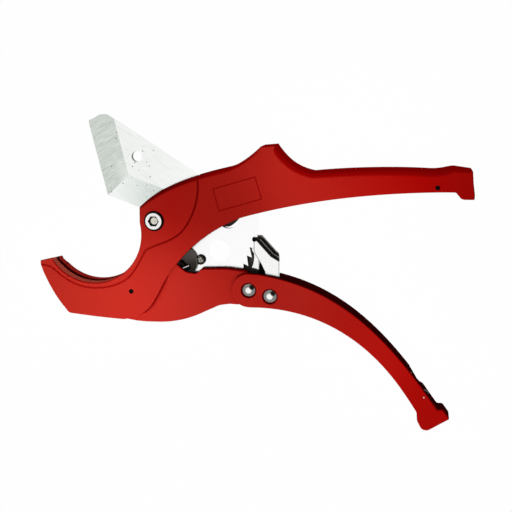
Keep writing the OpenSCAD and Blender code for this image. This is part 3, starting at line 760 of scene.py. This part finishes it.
# The lobe that carries the lower handle, thinner than the casting
hx, hy = HANDLE_AXIS
lobe_shape = outline(
    ([(-26, -72.8), (-21.5, -73.8), (-15.2, -74.8), (-8, -75.2)] + arc((0, 0), LOBE_R, -90, -62, 18), 1.2),
    ([(hx - 21.9, hy - 12.4, 8), (hx - 14.4, hy - 11.2, 8), (hx - 6.9, hy - 11.6, 8)], 1.2),
    (arc(HANDLE_AXIS, 8.3, -95, 45, 16), 0.8),
    ([(hx - 2.4, hy + 13.6, 3), (52, -33.6, 20), (33.6, -34.3, 1.5)], 1.4),
    ([(29.6, -38.2, 4), (22, -37, 4), (17.5, -33.4, 2), (8, -25), (-5, -50)], 0.8),
)
lobe = rounded_plate("lobe", lobe_shape, MID - LOBE_HALF, LOBE_TOP, RED_LOBE)


def step_fillet(name, line, flip):
    """The hollow fillet where the casting's face steps down to the lobe, fading out at both ends."""
    out = -leftward(directions(line))
    rings = []
    for k, (point, side) in enumerate(zip(np.array(line), out)):
        f = k / (len(line) - 1)
        r = STEP_FILLET_R * min(1, 0.1 + 6 * min(f, 1 - f))
        hollow = [(r - r * math.sin(a), r - r * math.cos(a)) for a in np.linspace(0, math.pi / 2, 7)]
        profile = [(-1.2, r), (-1.2, -1), (r, -1)] + hollow
        heights = [LOBE_TOP + up for _, up in profile]
        if flip:
            profile = profile[::-1]
            heights = [BODY_T - h for h in heights[::-1]]
        rings.append([(*(point + side * reach), h) for (reach, _), h in zip(profile, heights)])
    return loft(name, rings[::-1], RED_STEP_SHADE)


# The fillets take the step paint: painted shade on their sloping faces
fillet_line = lobe_step[4:21]
fillets = [step_fillet("fillet_front", fillet_line, False), step_fillet("fillet_back", fillet_line, True)]
combine(casting, [lobe, *fillets], "UNION")

# The slot for the blade, its place in the jaw and the pawls' place in the lobe, a hair apart in height
SLOT_LOW = MID - SLOT_HALF
SLOT_HIGH = MID + SLOT_HALF
HAIR = 0.001
# The cutters' faces carry the dark inside paint into the casting: painted shade in the slots and pockets
sector_points = [(0, 0)] + arc((0, 0), SECTOR_SLOT_R, -110.6, 200, 120)
sector_slot = prism("sector_slot", sector_points, SLOT_LOW, SLOT_HIGH, RED_INSIDE_SHADE)
jaw_points = [(0, 0), polar(60, 100)] + arc((0, 0), JAW_SLOT_R, 130, 226.5, 40) + [polar(43.6, 252.6)]
jaw_slot = prism("jaw_slot", jaw_points, SLOT_LOW - HAIR, SLOT_HIGH + HAIR, RED_INSIDE_SHADE)
pawl_points = [(36, -80), (90, -80), (90, -20), (62, -20)]
pawl_slot = prism("pawl_slot", pawl_points, SLOT_LOW + HAIR, SLOT_HIGH - HAIR, RED_INSIDE_SHADE)
spring_points = [(0, 0)] + arc((0, 0), SPRING_POCKET_R, -80, 66, 40)
spring_pocket = prism("spring_pocket", spring_points, MID, POCKET_TOP, RED_INSIDE_SHADE)
coil_pocket = drum("coil_pocket", (0, 0), SPRING_R + 1.5, MID, LEG_HIGH + 0.9, RED_INSIDE_SHADE)
hold_pocket = drum("hold_pocket", HANDLE_AXIS, HOLD_POCKET_R, MID, HOLD_POCKET_TOP, RED_INSIDE_SHADE)
cut(casting, sector_slot, jaw_slot, pawl_slot, spring_pocket, coil_pocket, hold_pocket)

# Channel along the underside of the upper handle, and the holes for the pivot and the pins
channel_points = [(x, y - CHANNEL_WEB) for x, y in handle_over[::3]]
channel_points += [(114, 31.6), (92, 27), (89, 0), (HANDLE_REACH - 17, 0)]
# The channel and the bores take the dark inside paint too, as painted shade
channel = prism("channel", channel_points, CHANNEL_WALL, BODY_T - CHANNEL_WALL, RED_INSIDE_SHADE)
# The ring round the bolt's head and the pin holes are cut with black faces, painted shade
bolt_ring = drum("bolt_ring", (0, 0), BOLT_HEAD_R + 1.25, BOLT_SEAT, BODY_T + PAST, BLACK)
bolt_bore = drum("bolt_bore", (0, 0), BOLT_R + CLEARANCE, 4, BODY_T, RED_INSIDE_SHADE)
nut_pocket = prism("nut_pocket", hexagon(NUT_AF + 0.2), -PAST, NUT_TOP, RED_INSIDE_SHADE)
stop_hole = drum("stop_hole", STOP_AXIS, STOP_HOLE_R, -PAST, BODY_T + PAST, BLACK, 24)
catch_hole = drum("catch_hole", CATCH_AXIS, CATCH_HOLE_R, -PAST, BODY_T + PAST, BLACK, 24)
cut(casting, channel, bolt_ring, bolt_bore, nut_pocket, stop_hole, catch_hole)

# A groove's cutter goes on above the face by this share of its depth
FLARE = 0.6


def groove(name, points, closed, half_width, depth, material):
    """A V-shaped cutter along a line on the front face. Its half width is taken at the face."""
    line = np.array(points, float)
    if closed:
        left = inward(line[::-1])[::-1] * -1
    else:
        left = leftward(directions(line))
    wide, above = (1 + FLARE) * half_width, FLARE * depth
    profile = ((wide, above), (-wide, above), (0, -depth))
    rings = []
    for point, side in zip(line, left):
        rings.append([(*(point + side * reach), BODY_T + up) for reach, up in profile])
    return loft(name, rings, material, closed)


# The fine line round the pivot and along the seat, and the framed panel on the neck
pivot_line = (
    curve((31.2, 35), (34.5, 22), (30, 3), (19.4, -8), 20)
    + curve((19.4, -8), (13, -14.6), (1, -17), (-6.5, -21.2), 12)
    + curve((-6.5, -21.2), (-8.5, -24.6), (-12.5, -33), (-17.1, -39.1), 10)
    + curve((-17.1, -39.1), (-24, -47), (-35, -50.2), (-46, -50.2), 14)
    + curve((-46, -50.2), (-58, -50.2), (-67, -45.5), (-76, -37), 14)
    + [(-76, -37), (-79, -35.2), (-83, -34.3), (-89, -33.6)]
)
panel_corners = [(43.2, 23.7), (73.1, 32.6), (77.7, 17.2), (47.4, 8.2)]
# The grooves take darker paint, painted shade in them
line_cut = groove("line_cut", pivot_line, False, 0.75, 0.45, RED_LINE_SHADE)
panel_cut = groove("panel_cut", panel_corners, True, 0.5, 0.25, RED_FAINT_SHADE)
cut(casting, line_cut, panel_cut)
stands_for(casting, "frame", "red_paint", "body_casting")

# The lip of the back cheek, seen in the blade's upper hole, dark as painted shade
lip_points = [(46, -3.6), (47.2, -4.4), (49, -4.9), (51, -5), (52.8, -4.6), (54.2, -3.9), (56.4, -2.1)]
lip_points += [(58.2, 0), (60, 6), (46, 4)]
lip = rounded_plate("back_lip", outline((lip_points, 0.3)), 0.6, SLOT_LOW - 0.1, DARK, 2)
stands_for(lip, "frame", "dark_steel")

# The lower handle: a curved channel that draws in towards its end

low_last = (LOW_REACH - 27.9, -127)
low_back = curve((hx + 0.6, hy - 12.6), (hx + 75.3, hy - 10), (LOW_REACH - 36, -116), low_last, 30)
low_cheek = curve(
    (LOW_REACH - 14, -124.2), (LOW_REACH - 55, -66), (hx + 53.2, hy + 6.7), (hx + 1.6, hy + 12.6), 30)
handle_shape = outline(
    (low_back, 1.6),
    ([(LOW_REACH - 23.4, -134, 3), (LOW_REACH - 23, -140, 5), (LOW_REACH - 18.4, -149.2, 4.7),
      (LOW_REACH, -137.8, 1), (LOW_REACH - 5, -131, 1.6), (LOW_REACH - 9, -131, 2)], 1.5),
    (low_cheek, 0.8),
    (arc(HANDLE_AXIS, HANDLE_END_R, 97, 262, 30), 1.0),
)
handle = rounded_plate("handle_shell", handle_shape, -MID, MID, RED_LOW)


def taper(x):
    """Half thickness of the lower handle at that distance along X."""
    return MID - HANDLE_TAPER * max(0, (x - TAPER_START) / (TAPER_END - TAPER_START))


def draw_in(piece, inset=0):
    """Draws a piece's sides in as the handle's taper does, and lifts it to the middle plane."""
    for vertex in piece.data.vertices:
        half = taper(vertex.co.x / MM)
        vertex.co.z = (vertex.co.z / (MID * MM) * (half - inset) + MID) * MM


draw_in(handle)
back_line = np.array(low_back + [low_last])
floor_line = back_line + FLOOR_T * leftward(directions(back_line))
start_x = hx + 2.2
hollow_points = [(start_x, -80), (start_x, floor_line[0][1])]
hollow_points += [tuple(p) for p in floor_line if p[0] > start_x]
hollow_points += [(LOW_REACH - 17.5, -131), (LOW_REACH - 8, -124), (LOW_REACH - 12, -100)]
hollow_points += [tuple(p) for p in np.array(low_cheek[3:]) + (6, 9)] + [(40, -20), (40, -80)]
# The handle's channel takes the dark inside paint, as painted shade
low_channel = prism("low_channel", hollow_points, -MID, MID, RED_INSIDE_SHADE)
draw_in(low_channel, CHEEK_T)
notch_points = [(LOW_REACH - 29.3, -104.2), (LOW_REACH - 23.6, -113.8), (LOW_REACH - 21.9, -115.6),
                (LOW_REACH - 19.3, -117), (LOW_REACH - 12, -110), (LOW_REACH - 22, -98)]
thumb_notch = prism("thumb_notch", notch_points, -PAST, MID - 3, RED_LOW)
# The rivet recesses take the darker line paint, painted shade in them
recesses = []
for k, (axis, bore) in enumerate(((HANDLE_AXIS, HANDLE_RIVET_R + CLEARANCE), (PAWL_AXIS, PAWL_RIVET_R))):
    recesses += [
        drum(f"recess_front_{k}", axis, RIVET_RECESS_R, BODY_T - RIVET_RECESS, BODY_T + PAST, RED_LINE_SHADE),
        drum(f"recess_back_{k}", axis, RIVET_RECESS_R, -PAST, RIVET_RECESS, RED_LINE_SHADE),
        drum(f"recess_bore_{k}", axis, bore, -PAST, BODY_T + PAST, RED_INSIDE_SHADE),
    ]
cut(handle, low_channel, thumb_notch, *recesses)
stands_for(handle, "lower_handle", "red_paint", "lower_handle")

# Fasteners


def domed(radius, height, top, steps=10):
    """Profile of a domed head: (radius, height) points from its rim to near the middle of its top."""
    ball = (radius * radius + height * height) / (2 * height)
    widest = math.asin(radius / ball)
    angles = [widest * (1 - i / steps) for i in range(steps)]
    return [(ball * math.sin(a), top - ball * (1 - math.cos(a))) for a in angles] + [(0.1, top)]


def rivet(name, axis, shank, body):
    """A rivet with a domed head on the front and a flat one on the back, each in its recess."""
    floor_low, floor_high = RIVET_RECESS - 0.1, BODY_T - RIVET_RECESS + 0.1
    profile = [(RIVET_HEAD_R - 0.8, RIVET_SUNK), (RIVET_HEAD_R - 0.2, 0.6), (RIVET_HEAD_R, 1)]
    profile += [(RIVET_HEAD_R, floor_low), (shank, floor_low), (shank, floor_high)]
    profile += domed(RIVET_HEAD_R + 0.3, RIVET_HEAD_H, floor_high + RIVET_HEAD_H)
    piece = turned(name + "_dome", axis, profile, CHROME)
    stands_for(piece, body, "bright_steel", name)


rivet("handle_rivet", HANDLE_AXIS, HANDLE_RIVET_R, "frame")
rivet("pawl_rivet", PAWL_AXIS, PAWL_RIVET_R, "lower_handle")

# The pivot bolt: chamfered head with a hexagon socket, shank and threaded end
THREAD_TURNS = 8
THREAD_PITCH = 0.6
bolt_profile = [(3.3, NUT_SUNK)]
for k in range(THREAD_TURNS):
    z = NUT_SUNK + 0.4 + THREAD_PITCH * k
    bolt_profile += [(THREAD_R - 0.3, z), (THREAD_R, z + THREAD_PITCH / 2)]
bolt_profile += [(THREAD_R, NUT_TOP), (BOLT_R, NUT_TOP), (BOLT_R, BOLT_SEAT)]
bolt_profile += [(BOLT_HEAD_R, BOLT_SEAT), (BOLT_HEAD_R, BOLT_TOP - 0.5)]
bolt_profile += [(BOLT_HEAD_R - 0.15, BOLT_TOP - 0.15), (BOLT_HEAD_R - 0.5, BOLT_TOP)]
bolt = turned("bolt", (0, 0), bolt_profile, BRIGHT)
# The socket's walls and the hexagon round its mouth are painted dark as shade
socket = prism("socket", hexagon(SOCKET_AF), BOLT_TOP - 2.4, BOLT_TOP + PAST, SOCKET)
point = turned("point", (0, 0), [(0.1, BOLT_TOP - 3.4), (2.7, BOLT_TOP - 2.3)], BRASSY)
frame_cut = prism("frame_cut", hexagon(SOCKET_AF + 1.1), BOLT_TOP - 0.4, BOLT_TOP + PAST, BLACK)
cut(bolt, frame_cut, socket, point)
stands_for(bolt, "frame", "bright_steel", "pivot_bolt")

# The nut: a hexagon with both ends chamfered
NUT_CHAMFER = 0.9
nut = prism("nut", hexagon(NUT_AF), NUT_SUNK, NUT_TOP, DARK)
narrow, wide = NUT_AF / 2 - 0.4, NUT_AF / 2 + 1.3
nut_profile = [(narrow, NUT_SUNK - 0.01), (wide, NUT_SUNK + NUT_CHAMFER)]
nut_profile += [(wide, NUT_TOP - NUT_CHAMFER), (narrow, NUT_TOP + 0.01)]
combine(nut, [turned("nut_round", (0, 0), nut_profile, DARK)], "INTERSECT")
cut(nut, drum("nut_bore", (0, 0), THREAD_R, -PAST, BODY_T, DARK))
stands_for(nut, "frame", "dark_steel", "pivot_nut")

# The screw in the blade that holds the spring's eye, with a cross recess painted black as shade
screw_profile = [(1.2, MID - 2), (SCREW_R, MID - 1.7), (SCREW_R, MID + 2), (SCREW_HEAD_R, MID + 2)]
screw_profile += [(SCREW_HEAD_R, SCREW_TOP - 0.8), (SCREW_HEAD_R - 0.2, SCREW_TOP - 0.4)]
screw_profile += [(SCREW_HEAD_R - 0.7, SCREW_TOP - 0.1), (0.6, SCREW_TOP)]
screw = turned("screw", SCREW_AXIS, screw_profile, BRASSY, 40)
for k, angle in enumerate((20, 110)):
    reach = Vector(polar(1.9, angle))
    wide = Vector(polar(0.26, angle + 90))
    ends = [reach + wide, -reach + wide, -reach - wide, reach - wide]
    ends = [(SCREW_AXIS[0] + p.x, SCREW_AXIS[1] + p.y) for p in ends]
    cut(screw, prism(f"cross_{k}", ends, SCREW_TOP - 0.7, SCREW_TOP + PAST, BLACK))
stands_for(screw, "blade", "bright_steel", "anchor_screw")

# The latch's pin, with domed ends in the handle's cheeks
pin_inset = 0.85 * HANDLE_TAPER
pin_top = BODY_T - pin_inset + 0.3
pin_profile = [(0.4, pin_inset), (LATCH_PIN_R, pin_inset + 0.3)] + domed(LATCH_PIN_R, 0.35, pin_top, 5)
latch_pin = turned("latch_pin_turned", LATCH_AXIS, pin_profile, BRIGHT, 32)
stands_for(latch_pin, "lower_handle", "bright_steel", "latch_pin")

# Springs

# Wires are shaded smooth at up to this many degrees
WIRE_SHARP = 60

# The return spring: eye round the screw, leg, coil and leg to the anchor
COIL_STEPS = 96
SPRING_END = Vector((21.4, -34))
EYE_R = SCREW_HEAD_R + SPRING_WIRE / 2 + 0.2
screw_angle = math.degrees(math.atan2(SCREW_AXIS[1], SCREW_AXIS[0]))
coil_start = screw_angle + math.degrees(math.acos((SPRING_R + EYE_R) / math.hypot(*SCREW_AXIS)))
end_angle = math.degrees(math.atan2(SPRING_END.y, SPRING_END.x))
coil_end = end_angle - math.degrees(math.acos(SPRING_R / SPRING_END.length)) + 720
tail_start = SPRING_END - 1.6 * SPRING_END.normalized()
eye = [(*p, LEG_LOW) for p in arc(SCREW_AXIS, EYE_R, coil_start + 500, coil_start + 180, 36)]
coil = []
for k in range(COIL_STEPS + 1):
    f = k / COIL_STEPS
    angle = coil_start + (coil_end - coil_start) * f
    coil.append((*polar(SPRING_R, angle), LEG_LOW + (LEG_HIGH - LEG_LOW) * f))
spring = wire("spring_coil", eye + coil + [(*tail_start, LEG_HIGH)], SPRING_WIRE, SPRING)
smooth(spring, WIRE_SHARP)
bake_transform(spring)
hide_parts("return_spring")

# The end of the spring, bent over in the anchor's pocket, in bright steel as a painted highlight
tip_points = [(19.9, -34.3), (21, -33.9), (22.4, -33.3), (24.3, -32.5)]
spring_tip_highlight = wire("spring_tip_highlight", [(*p, LEG_HIGH) for p in tip_points], SPRING_WIRE, BRIGHT)
stands_for(spring_tip_highlight, "frame", "spring_steel", sharp=WIRE_SHARP)


def small_spring(name, body, centre, radius, low, turns, start, pitch, first_leg, last_leg):
    """A small torsion spring about a rivet: two straight legs and a short coil."""
    last = start + 360 * turns
    steps = round(36 * turns)
    first_point = Vector(polar(radius, start, centre)) - first_leg * Vector(polar(1, start + 90))
    last_point = Vector(polar(radius, last, centre)) + last_leg * Vector(polar(1, last + 90))
    path = [(*first_point, low)]
    path += [(*polar(radius, start + 360 * turns * k / steps, centre), low + pitch * turns * k / steps)
             for k in range(steps + 1)]
    path.append((*last_point, low + pitch * turns))
    piece = wire(name + "_coil", path, PAWL_WIRE, SPRING)
    stands_for(piece, body, "spring_steel", name, sharp=WIRE_SHARP)


small_spring("hold_spring", "frame", HANDLE_AXIS, radius=4.9, low=MID + 3.3, turns=1.3, start=250,
             pitch=1.4, first_leg=4, last_leg=4)
small_spring("pawl_spring", "drive_pawl", PAWL_AXIS, radius=4.5, low=MID + 2.5, turns=1, start=170,
             pitch=1.25, first_leg=10, last_leg=4)

# The plate that anchors the return spring, with a pocket round the spring's end; the pocket's floor and the
# spring's hole are painted black and the rivet hole dark, as shade
anchor_shape = outline((arc(ANCHOR_AXIS, ANCHOR_R, 0, 360, 72)[:-1], 0.3))
anchor = rounded_plate("anchor_disc", anchor_shape, POCKET_TOP - ANCHOR_T, POCKET_TOP, ANCHOR, 3)
pocket_points = [(16.4, -28.4), (17.6, -33.6), (21.6, -37), (25.4, -35.2), (24.8, -32), (21.8, -31)]
pocket_points.append((20.2, -28.6))
end_pocket = prism("end_pocket", pocket_points, POCKET_TOP - 0.8, POCKET_TOP + PAST, BLACK)
end_hole = drum("end_hole", SPRING_END, 1, 0, BODY_T, BLACK, 24)
rivet_hole = drum("rivet_hole", ANCHOR_RIVET_AXIS, 1.5, 0, BODY_T, DARK, 24)
cut(anchor, end_pocket, end_hole, rivet_hole)
stands_for(anchor, "frame", "dark_steel", "spring_anchor")

# The drive pawl's front plate, with narrow rims
px, py = PAWL_AXIS
plate_edge = [
    (px + 6.2, py + 25.1, 0.8), (px + 0.4, py + 28.4, 2), (px - 10.2, py + 39.9, 0.8),
    (px - 12.3, py + 38.6, 0.8), (px - 12.2, py + 32.2), (px - 11.2, py + 29.5, 3), (px - 7.3, py + 23.2),
    (px - 4.2, py + 17), (px - 5.3, py + 0.5)]
plate_edge += arc(PAWL_AXIS, PAWL_HUB_R, 180, 350, 16) + [(px + 6.2, py + 8, 2)]
front_plate = rounded_plate("front_plate", outline((plate_edge, 0.7)), PLATE_LOW, PLATE_HIGH, PLATE)
cut(front_plate, drum("plate_bore", PAWL_AXIS, PAWL_RIVET_R + CLEARANCE, MID, BODY_T, PLATE, 32))
stands_for(front_plate, "drive_pawl", "blade_steel", "pawl_front_plate")

# The holding pawl with its nose in the first gap of the teeth
arm_edge = [
    (hx + 6.2, hy + 6.6), (hx + 6.2, hy + 18.6, 6), (hx + 6.6, hy + 29.1, 0.8), (70.6, -18.8, 0.6),
    (69, -19.6, 0.6), (69.7, -21.6, 1), (70.8, -23.2, 1), (70.9, -25.5), (70.7, -28.2), (70.2, -31),
    (67.6, -37.4)]
arm_shape = outline((arm_edge + arc(HANDLE_AXIS, HOLD_HUB_R, 140, 400, 24), 0.4))
arm = rounded_plate("hold_arm", arm_shape, MID - HOLD_HALF, MID + HOLD_HALF, ARM, 3)
cut(arm, drum("arm_bore", HANDLE_AXIS, HANDLE_RIVET_R + CLEARANCE, 0, BODY_T, ARM, 32))
stands_for(arm, "hold_pawl", "blade_steel", "hold_pawl")

# The dark web inside the lower handle, seen between the two pawls: a black sheet of painted shade
web_shape = outline(([(71.5, -42), (79.5, -42), (78.4, -36), (75.6, -31), (73.2, -26.6), (71.5, -27)], 0.1))
web = rounded_plate("inner_web", web_shape, CHEEK_T + 0.02, CHEEK_T + 0.3, BLACK, 2)
stands_for(web, "lower_handle", "dark_steel")

# Materials of the pieces that keep their CAD shapes

# The holding plate is dark and the pawl's tab black as painted shade
LOOKS = {
    BLADE: ["blade"],
    BRIGHT: ["pivot_bush", "pivot_washers", "pawl_spacers", "latch_spacers"],
    DARK: ["anchor_rivet", "hold_plate"],
    SPRING: ["latch"],
    SHADED_LAYER: ["pawl_claw", "pawl_rear_plate"],
    BLACK: ["stop_pin", "catch_pin", "pawl_tab"],
}

# Edges over this many degrees stay sharp. The blade's bevels are shallow
SHARP_DEGREES = {"blade": 3.5}
for material, names in LOOKS.items():
    for name in names:
        node = nodes[name]
        node.data.materials.clear()
        node.data.materials.append(material)
        node.data.shade_smooth()
        node.data.set_sharp_from_angle(angle=math.radians(SHARP_DEGREES.get(name, 30)))

# Floor, light and camera

# Half the floor's width in metres, its height in millimetres, its grey, and the share of shadow that shows
STAGE_HALF = 3.0
STAGE_Z = -0.05
STAGE_GREY = 0.6
SHADOW_SHARE = 0.012


def white_stage(name):
    """A pale floor that shows white to the camera and keeps a part of the shadow."""
    stage = bpy.data.materials.new(name)
    stage.use_nodes = True
    build = Nodes(stage.node_tree)
    build.tree.nodes.clear()
    pale = build.node("ShaderNodeBsdfDiffuse")
    pale.inputs["Color"].default_value = (STAGE_GREY, STAGE_GREY, STAGE_GREY, 1)
    glow = build.node("ShaderNodeEmission")
    glow.inputs["Color"].default_value = (1, 1, 1, 1)
    shown = build.grey(build.seen("Glossy", "Transmission"), 0, 1 - SHADOW_SHARE, 0, 1)
    mixer = build.node("ShaderNodeMixShader")
    build.link(shown, mixer.inputs["Fac"])
    build.link(pale.outputs[0], mixer.inputs[1])
    build.link(glow.outputs[0], mixer.inputs[2])
    build.link(mixer.outputs[0], build.node("ShaderNodeOutputMaterial").inputs["Surface"])
    return stage


half = STAGE_HALF / MM
floor_corners = [(x * half, y * half, STAGE_Z) for x, y in ((-1, -1), (1, -1), (1, 1), (-1, 1))]
floor = mesh_object("floor", floor_corners, [(0, 1, 2, 3)], white_stage("floor_white"))

# The studio shows white. Its fill light comes from the front and from the lower handle's side, and gloss sees
# a bright window, grey round that and one dark place
FILL_FROM = Vector((0, -0.3, 0.95)).normalized()
FILL_BRIGHT = 0.88
WINDOW = Vector((-0.152, -0.173, 0.973)).normalized()
AROUND_WINDOW = 0.24
DARK_PLACE = Vector((0.44, 0.41, 0.8)).normalized()
DARK_BRIGHT = 0.03
world = bpy.data.worlds.new("studio")
bpy.context.scene.world = world
world.use_nodes = True
sky = Nodes(world.node_tree)
ray = sky.node("ShaderNodeTexCoord").outputs["Generated"]
fill = sky.grey(sky.product(ray, FILL_FROM), 0, FILL_BRIGHT, -0.6, 1)
window = sky.grey(sky.product(ray, WINDOW), AROUND_WINDOW, 1, 0.81, 0.90)
dark_place = sky.grey(sky.product(ray, DARK_PLACE), 1, DARK_BRIGHT, 0.86, 0.92)
glossy = sky.node("ShaderNodeLightPath").outputs["Is Glossy Ray"]
lit = sky.choose(glossy, fill, sky.times(window, dark_place))
back = sky.tree.nodes["Background"]
back.inputs["Color"].default_value = (1, 1, 1, 1)
sky.link(sky.choose(sky.seen("Transmission"), lit, 1.0), back.inputs["Strength"])

# Soft pools of light on the paint, from the lower handle's side: where each falls in metres, its cone in
# degrees and its power
POOL_FROM = Vector((-0.12, -0.4, 0.9))
POOLS = {
    "pool_jaw": ((-0.066, -0.057), 9, 18),
    "pool_neck": ((-0.02, -0.062), 8, 11),
    "pool_lobe": ((0.022, -0.07), 8, 16),
    "pool_head": ((0, 0.006), 6, 4),
    "pool_hump": ((0.084, 0.048), 6, 8),
    "pool_handle": ((0.14, 0.031), 9, 15),
    "pool_low": ((0.13, -0.066), 10, 11),
    "pool_end": ((0.187, -0.124), 8, 9),
}
for name, (target, cone, power) in POOLS.items():
    light = bpy.data.lights.new(name, "SPOT")
    light.energy = power
    light.spot_size = math.radians(cone)
    light.spot_blend = 1
    light.shadow_soft_size = 0.02
    piece = bpy.data.objects.new(name, light)
    target = Vector((*target, BODY_T * MM))
    piece.location = target + POOL_FROM
    piece.rotation_euler = (target - piece.location).to_track_quat("-Z", "Y").to_euler()
    piece.visible_glossy = False
    bpy.context.scene.collection.objects.link(piece)

# The camera stands in front of the upper handle and looks towards the jaw
CAMERA_PLACE = Vector((181.7, 99.3, 710.75)) * MM
CAMERA_BACK = Vector((0.15237, 0.17334, 0.97301)).normalized()
CAMERA_LENS = 70.3
right = Vector((CAMERA_BACK.z, 0, -CAMERA_BACK.x)).normalized()
up = CAMERA_BACK.cross(right)
lens = bpy.data.cameras.new("camera")
lens.lens = CAMERA_LENS
lens.sensor_width = 36
camera = bpy.data.objects.new("camera", lens)
camera_turn = Matrix((right, up, CAMERA_BACK)).transposed().to_4x4()
camera.matrix_world = Matrix.Translation(CAMERA_PLACE) @ camera_turn
bpy.context.scene.collection.objects.link(camera)
bpy.context.scene.camera = camera
bpy.context.scene.view_settings.view_transform = "Standard"
